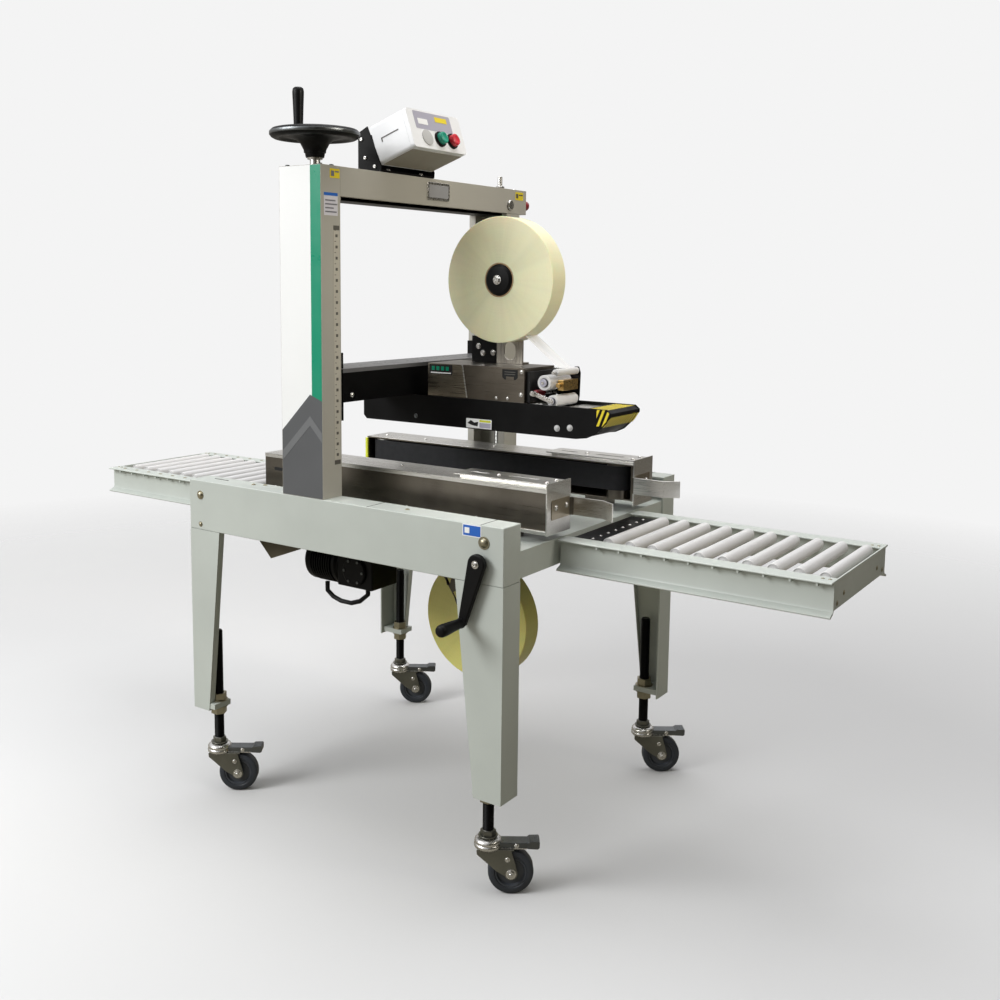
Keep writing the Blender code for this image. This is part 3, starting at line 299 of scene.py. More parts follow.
def rounded(x, y, radius, steps=5):
    """Outline of a rectangle with round corners."""
    points = []
    corners = ((x[1], y[1], 0), (x[0], y[1], 90), (x[0], y[0], 180), (x[1], y[0], 270))
    for corner_x, corner_y, turn in corners:
        centre_x = corner_x - math.copysign(radius, corner_x - (x[0] + x[1]) / 2)
        centre_y = corner_y - math.copysign(radius, corner_y - (y[0] + y[1]) / 2)
        points += arc((centre_x, centre_y), radius, turn, turn + 90, steps)
    return points


def slot_outline(centre, length, width, steps=8):
    """Outline of a slot that is long in the first coordinate."""
    reach = (length - width) / 2
    left = arc((centre[0] - reach, centre[1]), width / 2, 90, 270, steps)
    right = arc((centre[0] + reach, centre[1]), width / 2, -90, 90, steps)
    return left + right


def node_box(name):
    """A node's lowest and highest corners, measured from the conveyors' middle line."""
    low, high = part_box(name)
    return Vector(low) - ACROSS, Vector(high) - ACROSS


def soften(name, look, width=0.0012):
    """Gives a CAD node its material, smooth shading and rounded edges. Its mesh and place stay."""
    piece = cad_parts[name]
    for index in range(len(piece.material_slots)):
        piece.material_slots[index].material = look
    normals = piece.data.attributes.get("custom_normal")
    if normals is not None:
        piece.data.attributes.remove(normals)
    for face in piece.data.polygons:
        face.use_smooth = True
    weld = piece.modifiers.new("join", "WELD")
    weld.merge_threshold = 0.00002
    round_edges(piece, width)


# ---------------------------------------------------------------- materials


def new_material(name):
    made = bpy.data.materials.new(name)
    made.use_nodes = True
    tree = made.node_tree
    return made, tree, tree.nodes["Principled BSDF"]


def add(tree, kind, **values):
    made = tree.nodes.new(kind)
    for key, value in values.items():
        made.inputs[key.replace("_", " ")].default_value = value
    return made


def coordinates(tree, scale=(1, 1, 1)):
    place = tree.nodes.new("ShaderNodeTexCoord")
    mapping = add(tree, "ShaderNodeMapping", Scale=scale)
    tree.links.new(place.outputs["Object"], mapping.inputs["Vector"])
    return mapping.outputs["Vector"]


def noise(tree, vector, scale, detail=4.0, rough=0.55):
    made = add(tree, "ShaderNodeTexNoise", Scale=scale, Detail=detail, Roughness=rough)
    tree.links.new(vector, made.inputs["Vector"])
    return made.outputs["Fac"]


def ramp(tree, value, stops):
    made = tree.nodes.new("ShaderNodeValToRGB")
    made.color_ramp.elements[0].position, made.color_ramp.elements[0].color = stops[0]
    made.color_ramp.elements[1].position, made.color_ramp.elements[1].color = stops[-1]
    for position, colour in stops[1:-1]:
        made.color_ramp.elements.new(position).color = colour
    tree.links.new(value, made.inputs["Fac"])
    return made.outputs["Color"]


def spread(tree, value, low, high):
    made = add(tree, "ShaderNodeMapRange", To_Min=low, To_Max=high)
    made.inputs["From Min"].default_value = 0.3
    made.inputs["From Max"].default_value = 0.7
    tree.links.new(value, made.inputs["Value"])
    return made.outputs["Result"]


def shade(colour, factor):
    return (*(min(1.0, channel * factor) for channel in colour), 1.0)


def bumped(tree, shader, height, strength, distance):
    made = add(tree, "ShaderNodeBump", Strength=strength, Distance=distance)
    tree.links.new(height, made.inputs["Height"])
    tree.links.new(made.outputs["Normal"], shader.inputs["Normal"])


def paint(name, colour, roughness=0.38, spots=0.05, peel=0.12, coat=0.0, specular=0.5):
    """Sprayed enamel: a little cloudiness, orange peel and uneven gloss."""
    made, tree, shader = new_material(name)
    place = coordinates(tree)
    cloud = noise(tree, place, 5.0, 6.0)
    colours = ramp(tree, cloud, [(0.3, shade(colour, 1 - spots)), (0.7, shade(colour, 1 + spots))])
    tree.links.new(colours, shader.inputs["Base Color"])
    gloss = spread(tree, noise(tree, place, 23.0, 5.0), roughness - 0.05, roughness + 0.08)
    tree.links.new(gloss, shader.inputs["Roughness"])
    shader.inputs["Coat Weight"].default_value = coat
    shader.inputs["Specular IOR Level"].default_value = specular
    bumped(tree, shader, noise(tree, place, 420.0, 2.0), peel, 0.0004)
    return made


def brushed(name, colour, roughness=0.3, along=(3, 260, 260), spots=0.12, scratch=0.08):
    """Brushed sheet metal, with its grain along the axis that has the small scale."""
    made, tree, shader = new_material(name)
    grain = noise(tree, coordinates(tree, along), 4.0, 5.0, 0.65)
    smear = noise(tree, coordinates(tree), 7.0, 3.0)
    colours = ramp(tree, smear, [(0.3, shade(colour, 1 - spots)), (0.7, shade(colour, 1 + spots))])
    tree.links.new(colours, shader.inputs["Base Color"])
    gloss = spread(tree, grain, roughness - 0.09, roughness + 0.1)
    tree.links.new(gloss, shader.inputs["Roughness"])
    shader.inputs["Metallic"].default_value = 1.0
    bumped(tree, shader, grain, scratch, 0.0003)
    return made


def moulded(name, colour, roughness=0.45, grain=0.2, spots=0.06, scale=700.0, specular=0.5):
    """Moulded plastic or rubber with a fine grain."""
    made, tree, shader = new_material(name)
    place = coordinates(tree)
    cloud = noise(tree, place, 18.0, 5.0)
    colours = ramp(tree, cloud, [(0.3, shade(colour, 1 - spots)), (0.7, shade(colour, 1 + spots))])
    tree.links.new(colours, shader.inputs["Base Color"])
    gloss = spread(tree, noise(tree, place, 60.0, 4.0), roughness - 0.06, roughness + 0.08)
    tree.links.new(gloss, shader.inputs["Roughness"])
    shader.inputs["Specular IOR Level"].default_value = specular
    bumped(tree, shader, noise(tree, place, scale, 3.0), grain, 0.0003)
    return made


def clear_film(name, colour):
    """Thin see-through tape with faint streaks."""
    made, tree, shader = new_material(name)
    streaks = noise(tree, coordinates(tree, (4, 90, 4)), 3.0, 3.0)
    tree.links.new(spread(tree, streaks, 0.35, 0.62), shader.inputs["Alpha"])
    tree.links.new(spread(tree, streaks, 0.12, 0.25), shader.inputs["Roughness"])
    shader.inputs["Base Color"].default_value = (*colour, 1.0)
    return made


def wound_film(name, colour, centre):
    """The side of a wound roll: fine rings, broad wedges painted paler as a painted sheen, and a faint layer
    edge.
    """
    made, tree, shader = new_material(name)
    place = tree.nodes.new("ShaderNodeTexCoord")
    offset = tree.nodes.new("ShaderNodeVectorMath")
    offset.operation = "SUBTRACT"
    offset.inputs[1].default_value = centre
    tree.links.new(place.outputs["Object"], offset.inputs[0])
    across = tree.nodes.new("ShaderNodeVectorMath")
    across.operation = "MULTIPLY"
    across.inputs[1].default_value = (1.0, 0.0, 1.0)
    tree.links.new(offset.outputs["Vector"], across.inputs[0])
    radius = tree.nodes.new("ShaderNodeVectorMath")
    radius.operation = "LENGTH"
    tree.links.new(across.outputs["Vector"], radius.inputs[0])
    unit = tree.nodes.new("ShaderNodeVectorMath")
    unit.operation = "NORMALIZE"
    tree.links.new(across.outputs["Vector"], unit.inputs[0])
    rings = add(tree, "ShaderNodeTexNoise", Scale=1.0, Detail=6.0, Roughness=0.7)
    rings.noise_dimensions = "1D"
    wide = tree.nodes.new("ShaderNodeMath")
    wide.operation = "MULTIPLY"
    wide.inputs[1].default_value = 900.0
    tree.links.new(radius.outputs["Value"], wide.inputs[0])
    tree.links.new(wide.outputs["Value"], rings.inputs["W"])
    # Broad wedges round the centre painted up to a tenth paler: a painted sheen standing for the radial gloss
    # on wound film.
    painted_sheen_sectors = noise(tree, unit.outputs["Vector"], 1.6, 5.0, 0.6)
    pale = shade(colour, 1.1)
    colours = ramp(tree, painted_sheen_sectors, [(0.38, (*colour, 1.0)), (0.62, pale)])
    mix = tree.nodes.new("ShaderNodeMix")
    mix.data_type = "RGBA"
    mix.blend_type = "MULTIPLY"
    mix.inputs["Factor"].default_value = 1.0
    lines = ramp(tree, rings.outputs["Fac"], [(0.35, (0.93, 0.93, 0.9, 1.0)), (0.65, (1.0, 1.0, 1.0, 1.0))])
    tree.links.new(colours, mix.inputs[6])
    tree.links.new(lines, mix.inputs[7])
    tree.links.new(mix.outputs[2], shader.inputs["Base Color"])
    gloss = spread(tree, rings.outputs["Fac"], 0.22, 0.4)
    tree.links.new(gloss, shader.inputs["Roughness"])
    shader.inputs["Subsurface Weight"].default_value = 0.25
    shader.inputs["Subsurface Scale"].default_value = 0.02
    shader.inputs["Coat Weight"].default_value = 0.3
    shader.inputs["Coat Roughness"].default_value = 0.12
    bumped(tree, shader, rings.outputs["Fac"], 0.25, 0.0004)
    return made


FRAME_PAINT = paint("frame_enamel", (0.50, 0.535, 0.50))
COLUMN_PAINT = paint("gantry_enamel", (0.42, 0.405, 0.36), 0.34, 0.04)
WHITE_FILM = paint("white_vinyl", (0.88, 0.89, 0.89), 0.45, 0.006, 0.02)
GREEN_FILM = paint("green_vinyl", (0.0, 0.27, 0.15), 0.3, 0.04, 0.04)
GREY_FILM = paint("dark_grey_vinyl", (0.098, 0.102, 0.108), 0.36, 0.06, 0.05)
PALE_GREY_FILM = paint("mid_grey_vinyl", (0.16, 0.165, 0.172), 0.36, 0.05, 0.05)
BLUE_FILM = paint("blue_vinyl", (0.02, 0.13, 0.52), 0.3, 0.05, 0.04)
YELLOW_FILM = paint("yellow_vinyl", (0.78, 0.62, 0.03), 0.32, 0.06, 0.04)
BLACK_PAINT = paint("black_satin", (0.0025, 0.0025, 0.0028), 0.4, 0.3, 0.15, 0.0, 0.13)
STEEL_UP = brushed("brushed_stainless_upright", (0.52, 0.49, 0.44), 0.3, (260, 260, 3))
BRIGHT = brushed("bright_zinc", (0.72, 0.71, 0.69), 0.26, (60, 60, 60), 0.1, 0.05)
ZINC = brushed("zinc_plate", (0.52, 0.52, 0.50), 0.34, (40, 40, 40), 0.2, 0.1)
BRASS = brushed("brass_parts", (0.62, 0.42, 0.16), 0.3, (60, 60, 60), 0.2)
BLACK_PLASTIC = moulded("black_plastic", (0.004, 0.004, 0.0044), 0.42, specular=0.16)
BELT = moulded("drive_belt", (0.009, 0.009, 0.011), 0.62, 0.4, 0.2, 500.0, 0.3)
TREAD = moulded("wheel_rubber", (0.035, 0.041, 0.052), 0.5, 0.25, 0.15)
HUB_GREY = moulded("wheel_hub", (0.055, 0.062, 0.075), 0.4, 0.2, 0.12)
ROLLER_WHITE = moulded("roller_tube", (0.66, 0.655, 0.655), 0.34, 0.03, 0.015)
BOX_WHITE = moulded("box_shell", (0.82, 0.83, 0.85), 0.38, 0.12, 0.02)
BUTTON_GREEN = moulded("green_cap", (0.01, 0.30, 0.20), 0.25, 0.03)
BUTTON_RED = moulded("red_cap", (0.62, 0.02, 0.04), 0.25, 0.03)
# Flat black for printed marks, and for slots, holes and vents drawn flat: painted shade in the openings.
INK_AND_SHADE_BLACK = moulded("ink_and_painted_shade_black", (0.006, 0.006, 0.006), 0.8, 0.1)
COLUMN_PAINT_PALE = paint("scale_strip_print", (0.50, 0.475, 0.41), 0.4, 0.03)
SCALE_INK = paint("scale_strip_ink", (0.09, 0.085, 0.075), 0.5, 0.1)
LID_STEEL = brushed("pale_brushed_lid", (0.78, 0.77, 0.74), 0.3, (3, 200, 200), 0.06)
BROWN_STEEL = brushed("shaded_brushed_steel", (0.17, 0.15, 0.125), 0.34, (3, 240, 240), 0.25)
LID_PAINT = paint("pale_grey_lid", (0.50, 0.50, 0.50), 0.3, 0.04)
LID_DARK = paint("dark_grey_lid", (0.13, 0.13, 0.135), 0.3, 0.08)
# Dark tan for faces under the bed: painted shade.
UNDER_BED_SHADE_PAINT = paint("painted_shade_tan", (0.11, 0.092, 0.058), 0.5, 0.12)
BRACE_PAINT = paint("brown_grey_brace", (0.085, 0.075, 0.06), 0.42, 0.12)
# Taupe for the white box's shaded underside: painted shade.
UNDERSIDE_SHADE_PAINT = paint("painted_shade_underside", (0.33, 0.30, 0.25), 0.5, 0.05)
LILAC_FILM = paint("lilac_grey_label", (0.40, 0.39, 0.47), 0.35, 0.03, 0.04)
BADGE_GREY = paint("badge_field", (0.30, 0.30, 0.31), 0.35, 0.05)
LABEL_INK = paint("label_ink", (0.16, 0.16, 0.19), 0.5, 0.1)
PALE_LILAC = paint("pale_lilac_label", (0.66, 0.65, 0.71), 0.4, 0.02, 0.03)
RED_PLASTIC = moulded("dark_red_plastic", (0.24, 0.012, 0.02), 0.35, 0.1)
YELLOW_RUBBER = moulded("yellow_green_bumper", (0.62, 0.66, 0.04), 0.5, 0.2)
OLIVE_ZINC = brushed("olive_zinc", (0.36, 0.33, 0.24), 0.36, (40, 40, 40), 0.2, 0.1)
WARM_STEEL = brushed("warm_brushed_steel", (0.42, 0.37, 0.29), 0.3, (3, 240, 240), 0.3)
CLEAR_FILM = clear_film("clear_tape", (0.95, 0.96, 0.97))
# Zinc darkened for the shade and dark reflections on the caster forks and foot nuts: painted shade.
SHADED_FORK_ZINC = brushed("fork_zinc_painted_shade", (0.22, 0.22, 0.195), 0.38, (40, 40, 40), 0.3, 0.12)
DARK_ZINC = brushed("dark_zinc", (0.16, 0.17, 0.175), 0.36, (30, 30, 30), 0.25, 0.12)


# ---------------------------------------------------------------- stage


def set_stage():
    """Pale floor that fades out into a pale backdrop, and soft studio light."""
    scene = bpy.context.scene
    scene.view_settings.view_transform = "Standard"
    world = bpy.data.worlds.new("studio")
    scene.world = world
    world.use_nodes = True
    tree = world.node_tree
    tree.nodes.clear()
    seen = add(tree, "ShaderNodeBackground", Color=(0.905, 0.905, 0.905, 1.0), Strength=1.0)
    place = tree.nodes.new("ShaderNodeTexCoord")
    split = tree.nodes.new("ShaderNodeSeparateXYZ")
    tree.links.new(place.outputs["Generated"], split.inputs[0])
    sky = ramp(
        tree,
        split.outputs["Z"],
        [
            (0.0, (0.42, 0.39, 0.35, 1.0)),
            (0.12, (0.5, 0.48, 0.45, 1.0)),
            (0.5, (0.98, 0.98, 1.0, 1.0)),
            (1.0, (1.1, 1.1, 1.12, 1.0)),
        ],
    )
    infeed = add(tree, "ShaderNodeMapRange")
    infeed.inputs["From Min"].default_value = 0.0
    infeed.inputs["From Max"].default_value = 0.6
    tree.links.new(split.outputs["X"], infeed.inputs["Value"])
    dusk = ramp(
        tree,
        infeed.outputs["Result"],
        [(0.0, (1.0, 1.0, 1.0, 1.0)), (1.0, (0.10, 0.092, 0.066, 1.0))],
    )
    shaded = tree.nodes.new("ShaderNodeMix")
    shaded.data_type = "RGBA"
    shaded.blend_type = "MULTIPLY"
    shaded.inputs["Factor"].default_value = 1.0
    tree.links.new(sky, shaded.inputs[6])
    tree.links.new(dusk, shaded.inputs[7])
    lit = add(tree, "ShaderNodeBackground", Strength=0.85)
    tree.links.new(shaded.outputs[2], lit.inputs["Color"])
    rays = tree.nodes.new("ShaderNodeLightPath")
    either = tree.nodes.new("ShaderNodeMixShader")
    tree.links.new(rays.outputs["Is Camera Ray"], either.inputs["Fac"])
    tree.links.new(lit.outputs[0], either.inputs[1])
    tree.links.new(seen.outputs[0], either.inputs[2])
    out = tree.nodes.new("ShaderNodeOutputWorld")
    tree.links.new(either.outputs[0], out.inputs["Surface"])

    made, tree, shader = new_material("studio_floor")
    tree.nodes.remove(shader)
    distance = tree.nodes.new("ShaderNodeVectorMath")
    distance.operation = "LENGTH"
    tree.links.new(coordinates(tree), distance.inputs[0])
    fade = add(tree, "ShaderNodeMapRange")
    fade.inputs["From Min"].default_value = 1.6
    fade.inputs["From Max"].default_value = 4.5
    tree.links.new(distance.outputs["Value"], fade.inputs["Value"])
    view = tree.nodes.new("ShaderNodeLightPath")
    bounce = ramp(
        tree,
        view.outputs["Is Camera Ray"],
        [(0.0, (0.30, 0.28, 0.23, 1.0)), (1.0, (0.66, 0.66, 0.66, 1.0))],
    )
    pale = tree.nodes.new("ShaderNodeBsdfDiffuse")
    tree.links.new(bounce, pale.inputs["Color"])
    clear = tree.nodes.new("ShaderNodeBsdfTransparent")
    blend = tree.nodes.new("ShaderNodeMixShader")
    tree.links.new(fade.outputs["Result"], blend.inputs["Fac"])
    tree.links.new(pale.outputs[0], blend.inputs[1])
    tree.links.new(clear.outputs[0], blend.inputs[2])
    tree.links.new(blend.outputs[0], tree.nodes["Material Output"].inputs["Surface"])
    disc = bmesh.new()
    bmesh.ops.create_circle(disc, cap_ends=True, radius=7.0, segments=64)
    mesh = bpy.data.meshes.new("studio_floor")
    disc.to_mesh(mesh)
    disc.free()
    mesh.materials.append(made)
    floor = bpy.data.objects.new("studio_floor", mesh)
    scene.collection.objects.link(floor)

    add_light("key", (-2.2, -3.8, 3.2), (0, 0, 0.8), 2.4, 175.0, (0.99, 1.0, 1.0))
    add_light("overhead", (0.2, 0.2, 4.2), (0, 0, 0.7), 3.0, 70.0, (1.0, 1.0, 1.0))
    add_light("warm_fill", (3.0, 0.3, 2.7), (0, 0, 1.5), 1.2, 5.0, (1.0, 0.94, 0.84), 50.0)


def add_light(name, place, target, size, power, colour, cone=180.0):
    data = bpy.data.lights.new(name, "AREA")
    data.shape = "DISK"
    data.size = size
    data.energy = power
    data.spread = math.radians(cone)
    data.color = colour
    light = bpy.data.objects.new(name, data)
    light.location = Vector(place) + ACROSS
    aim = Vector(target) - Vector(place)
    light.rotation_euler = aim.to_track_quat("-Z", "Y").to_euler()
    bpy.context.scene.collection.objects.link(light)


def set_camera():
    """The camera stands off the near infeed corner, looks down a little and is shifted to the machine."""
    data = bpy.data.cameras.new("camera")
    data.sensor_width = 36.0
    data.lens = 40.0
    data.shift_x = 0.0314
    data.shift_y = -0.0787
    camera = bpy.data.objects.new("camera", data)
    level = math.cos(CAMERA_DOWN)
    back = Vector((
        math.sin(CAMERA_AZIMUTH) * level,
        -math.cos(CAMERA_AZIMUTH) * level,
        math.sin(CAMERA_DOWN),
    ))
    turn = (-back).to_track_quat("-Z", "Y").to_matrix().to_4x4() @ Matrix.Rotation(CAMERA_ROLL, 4, "Z")
    camera.matrix_world = Matrix.Translation(CAMERA_PLACE) @ turn
    bpy.context.scene.collection.objects.link(camera)
    bpy.context.scene.camera = camera


# ---------------------------------------------------------------- frame, columns and beam


def dress_frame():
    for side in SIDES:
        soften(f"{side}_side_panel", FRAME_PAINT, 0.002)
        for end in ENDS:
            soften(f"leg_{side}_{end}", FRAME_PAINT, 0.002)
        soften(f"{side}_column", COLUMN_PAINT, 0.0018)
    soften("bed_frame", FRAME_PAINT, 0.001)
    soften("top_beam", COLUMN_PAINT, 0.0018)
    soften("crossarm", BLACK_PAINT, 0.0012)
    soften("head_frame", BLACK_PAINT, 0.0008)
    soften("head_cartridge", BROWN_STEEL, 0.0008)
    soften("roll_mast", STEEL_UP, 0.0006)
    soften("motor_lead", BLACK_PLASTIC, 0.0003)
    for side in SIDES:
        soften(f"{side}_belt_housing", BROWN_STEEL, 0.0008)
        soften(f"{side}_belt", BELT, 0.0005)
        soften(f"{side}_belt_pulley", ZINC, 0.0005)


def column_livery():
    """White field, green stripe and dark foot on the outer face of the near column, without lettering."""
    low, high = node_box("near_column")
    face = (low.y - SKIN, low.y)
    peak_x = high.x - 0.038
    stripe_x = high.x - 0.032
    peak_z = low.z + 0.242
    left_z = low.z + 0.153
    right_z = low.z + 0.228
    rise = (peak_z - left_z) / (peak_x - low.x)
    inset = 0.001
    top = high.z - inset
    stripe_z = peak_z - (stripe_x - peak_x) * (peak_z - right_z) / (high.x - peak_x)
    white = [
        (low.x + inset, left_z),
        (peak_x, peak_z),
        (stripe_x, stripe_z),
        (stripe_x, top),
        (low.x + inset, top),
    ]
    Shape().flat([white], "y", *face).make("column_white_field", "frame", WHITE_FILM, "column_paint", 0)
    green = [(stripe_x, stripe_z), (high.x - inset, right_z), (high.x - inset, top), (stripe_x, top)]
    Shape().flat([green], "y", *face).make("column_green_stripe", "frame", GREEN_FILM, "column_paint", 0)
    foot = [
        (low.x + inset, low.z + inset),
        (high.x - inset, low.z + inset),
        (high.x - inset, right_z),
        (peak_x, peak_z),
        (low.x + inset, left_z),
    ]
    Shape().flat([foot], "y", *face).make("column_dark_foot", "frame", GREY_FILM, "column_paint", 0)
    band = 0.022
    drop = 0.05
    chevron = [
        (low.x + inset, left_z - drop),
        (peak_x, peak_z - drop),
        (high.x - inset, peak_z - drop - (high.x - peak_x) * rise),
        (high.x - inset, peak_z - drop - band - (high.x - peak_x) * rise),
        (peak_x, peak_z - drop - band),
        (low.x + inset, left_z - drop - band),
    ]
    raised = (low.y - 2 * SKIN, low.y - SKIN)
    Shape().flat([chevron], "y", *raised).make(
        "column_pale_chevron",
        "frame",
        PALE_GREY_FILM,
        "column_paint",
        0,
    )


def column_scale():
    """Height scale and blank labels on the near column's inner side."""
    low, high = node_box("near_column")
    face = (high.x, high.x + SKIN)
    raised = (high.x + SKIN, high.x + 2 * SKIN)
    strip_y = (low.y + 0.041, low.y + 0.061)
    first = low.z + 0.1
    pitch = 0.0252
    count = 21
    last = first + pitch * (count - 1)
    strip = Shape().box(face, strip_y, (first - 0.012, last + 0.012))
    strip.make("height_scale_strip", "frame", COLUMN_PAINT_PALE, "column_paint", 0)
    marks = Shape()
    for index in range(count):
        z = first + index * pitch
        marks.box(raised, (strip_y[0] + 0.0065, strip_y[1] - 0.0065), (z - 0.0032, z + 0.0032))
        marks.box(raised, (strip_y[0] + 0.003, strip_y[0] + 0.008), (z + 0.0118, z + 0.0132))
    for z in (first - 0.018, last + 0.018):
        marks.box(face, strip_y, (z - 0.005, z + 0.005))
    marks.make("height_scale_marks", "frame", SCALE_INK, "column_paint", 0)
    top = high.z
    yellow = Shape().box(face, (low.y + 0.03, low.y + 0.063), (top - 0.028, top - 0.007))
    yellow.make("column_yellow_label", "frame", YELLOW_FILM, "column_paint", 0)
    card = Shape().box(face, (low.y + 0.01, low.y + 0.056), (top - 0.112, top - 0.068))
    card.make("column_pale_label", "frame", PALE_LILAC, "column_paint", 0)
    head = Shape().box(face, (low.y + 0.01, low.y + 0.056), (top - 0.068, top - 0.061))
    head.make("column_blue_label", "frame", BLUE_FILM, "column_paint", 0)
    bars = Shape()
    for index, reach in enumerate((0.034, 0.04, 0.028, 0.038)):
        z = top - 0.078 - index * 0.0085
        bars.box(raised, (low.y + 0.014, low.y + 0.014 + reach), (z - 0.0018, z + 0.0012))
    bars.box(raised, (low.y + 0.034, low.y + 0.044), (top - 0.024, top - 0.012))
    bars.box(raised, (low.y + 0.047, low.y + 0.06), (top - 0.015, top - 0.012))
    bars.make("column_label_bars", "frame", LABEL_INK, "column_paint", 0)


# ---------------------------------------------------------------- tape rolls


def tape_roll(name, body, node, bore_radius, colour):
    low, high = node_box(node)
    centre = ((low.x + high.x) / 2, 0.0, (low.z + high.z) / 2)
    outer = (high.x - low.x) / 2
    film = wound_film(f"{name}_film", colour, centre)
    ring = [
        (bore_radius + 0.003, low.y + 0.0006),
        (outer - 0.0015, low.y),
        (outer, low.y + 0.001),
        (outer, high.y - 0.001),
        (outer - 0.0015, high.y),
        (bore_radius + 0.003, high.y - 0.0006),
    ]
    Shape().turned(ring, centre, "y", 128).make(name, body, film, "tape_film", 0, (node,))
    core = [
        (bore_radius, low.y),
        (bore_radius + 0.003, low.y),
        (bore_radius + 0.003, high.y),
        (bore_radius, high.y),
    ]
    card = moulded(f"{name}_card", (0.42, 0.28, 0.15), 0.8, 0.4, 0.15)
    Shape().turned(core, centre, "y", 96).make(f"{name}_core", body, card, "tape_film", 0)


def roll_hub():
    low, high = node_box("roll_hub_upper")
    centre = ((low.x + high.x) / 2, 0.0, (low.z + high.z) / 2)
    radius = (high.x - low.x) / 2
    front = low.y
    profile = [
        (0, front - 0.001),
        (0.008, front - 0.001),
        (radius * 0.62, front),
        (radius * 0.84, front + 0.001),
        (radius * 0.97, front + 0.005),
        (radius, front + 0.01),
        (radius, high.y),
        (0, high.y),
    ]
    hub = Shape().turned(profile, centre, "y", 64)
    hub.make("tape_hub", "upper_roll", BLACK_PLASTIC, "black_plastic", 0.0004, ("roll_hub_upper",))
    screw = Shape().bolt((centre[0], front - 0.001, centre[2]), (0, -1, 0), 0.0085, 0.006, 6)
    screw.make("tape_hub_nut", "upper_roll", BRIGHT, "zinc", 0.0004)


# ---------------------------------------------------------------- rollers


def roller_shape(shape, x, z, half, radius, journal):
    tube = [
        (0, -half),
        (journal, -half),
        (journal, -half - 0.0001),
        (radius * 0.72, -half),
        (radius * 0.76, -half + 0.002),
        (radius * 0.86, -half + 0.002),
        (radius * 0.88, -half),
        (radius - 0.0008, -half),
        (radius, -half + 0.001),
    ]
    mirrored = [(r, -h) for r, h in reversed(tube)]
    return shape.turned(tube + mirrored, (x, 0, z), "y", 40)


def infeed_rollers():
    for index in range(1, ROLLER_COUNT + 1):
        node = f"infeed_roller_{index:02d}"
        low, high = node_box(node)
        x = (low.x + high.x) / 2
        z = (low.z + high.z) / 2
        radius = (high.x - low.x) / 2
        tube = roller_shape(Shape(), x, z, ROLLER_HALF, radius, ROLLER_BORE)
        tube.make(f"{node}_tube", node, ROLLER_WHITE, "roller_plastic", 0, (node,))
        shaft = Shape().rod((x, low.y, z), (x, high.y, z), ROLLER_SHAFT, 6)
        shaft.make(f"{node}_shaft", node, BRIGHT, "zinc", 0)


# ---------------------------------------------------------------- panels, legs and casters


def clipped(outline, border):
    """The part of an outline that lies inside a convex border whose points run anticlockwise."""
    kept = outline
    for start, end in zip(border, border[1:] + border[:1]):
        source = kept
        kept = []
        for here, after in zip(source, source[1:] + source[:1]):
            first = (end[0] - start[0]) * (here[1] - start[1]) - (end[1] - start[1]) * (here[0] - start[0])
            second = (end[0] - start[0]) * (after[1] - start[1]) - (end[1] - start[1]) * (after[0] - start[0])
            if first >= 0:
                kept.append(here)
            if first * second < 0:
                part = first / (first - second)
                kept.append((here[0] + (after[0] - here[0]) * part, here[1] + (after[1] - here[1]) * part))
    return kept


def panel_details():
    top = PANEL_TOP
    for side, way in SIDES.items():
        face = way * FRAME_Y
        bolts = Shape()
        for x, z, radius in ((-0.438, 0.787, 0.0085), (-0.439, 0.712, 0.005), (0.429, 0.787, 0.0105)):
            bolts.dome((x, face, z), (0, way, 0), radius, radius * 0.75)
        for x, y in ((-0.29, 0.372), (-0.262, 0.36), (0.2, 0.38)):
            bolts.dome((x, way * y, top), (0, 0, 1), 0.0045, 0.003)
        bolts.make(f"{side}_panel_bolts", "frame", OLIVE_ZINC, "zinc", 0)
        joint = Shape().flat(
            [slot_outline((-0.405, way * 0.371), 0.05, 0.004)],
            "z",
            top - SKIN,
            top + SKIN,
        )
        for x in (0.11, 0.42):
            joint.box((x - 0.0007, x + 0.0007), (way * 0.3475, way * 0.4125), (top - SKIN, top + SKIN))
        joint.make(f"{side}_panel_joint", "frame", INK_AND_SHADE_BLACK, "frame_paint", 0)
    face = (-FRAME_Y - SKIN, -FRAME_Y)
    raised = (-FRAME_Y - 2 * SKIN, -FRAME_Y - SKIN)
    Shape().box((0.374, 0.422), face, (0.796, 0.822)).make(
        "panel_label_edge",
        "frame",
        WHITE_FILM,
        "frame_paint",
        0,
    )
    Shape().box((0.376, 0.420), raised, (0.798, 0.820)).make(
        "panel_label",
        "frame",
        BLUE_FILM,
        "frame_paint",
        0,
    )
    marks = Shape().box((0.380, 0.392), (raised[0] - SKIN, raised[0]), (0.803, 0.815))
    marks.make("panel_label_mark", "frame", WHITE_FILM, "frame_paint", 0)


def leg_details():
    for side, way in SIDES.items():
        for end, along in ENDS.items():
            label = f"{side}_{end}"
            top, foot = (0.355, 0.407) if along > 0 else (0.372, 0.422)
            edge = [
                (along * top, 0.697),
                (along * (top + 0.003), 0.697),
                (along * (foot + 0.003), 0.2225),
                (along * foot, 0.2225),
            ]
            y = sorted((way * (FRAME_Y - 0.0042), way * (FRAME_Y - 0.018)))
            Shape().flat([edge], "y", *y).make(
                f"leg_return_{label}",
                "frame",
                FRAME_PAINT,
                "frame_paint",
                0.0008,
            )
            x = along * 0.424
            y = way * 0.378
            nuts = Shape()
            for low, high in ((0.2423, 0.2445), (0.2257, 0.2279)):
                ring = [(0.0130, low), (0.0235, low), (0.0235, high), (0.0130, high)]
                nuts.turned(ring, (x, y, 0), segments=32)
            hexagon = arc((0, 0), 0.0205, 0, 300, 5)
            bore = arc((0, 0), 0.0130, 0, 345, 23)
            for low in (0.2445, 0.2077):
                nuts.flat([hexagon, bore], "z", low, low + 0.018, Matrix.Translation((x, y, 0)))
            nuts.make(f"clamp_nuts_{label}", "frame", OLIVE_ZINC, "zinc", 0.0008)


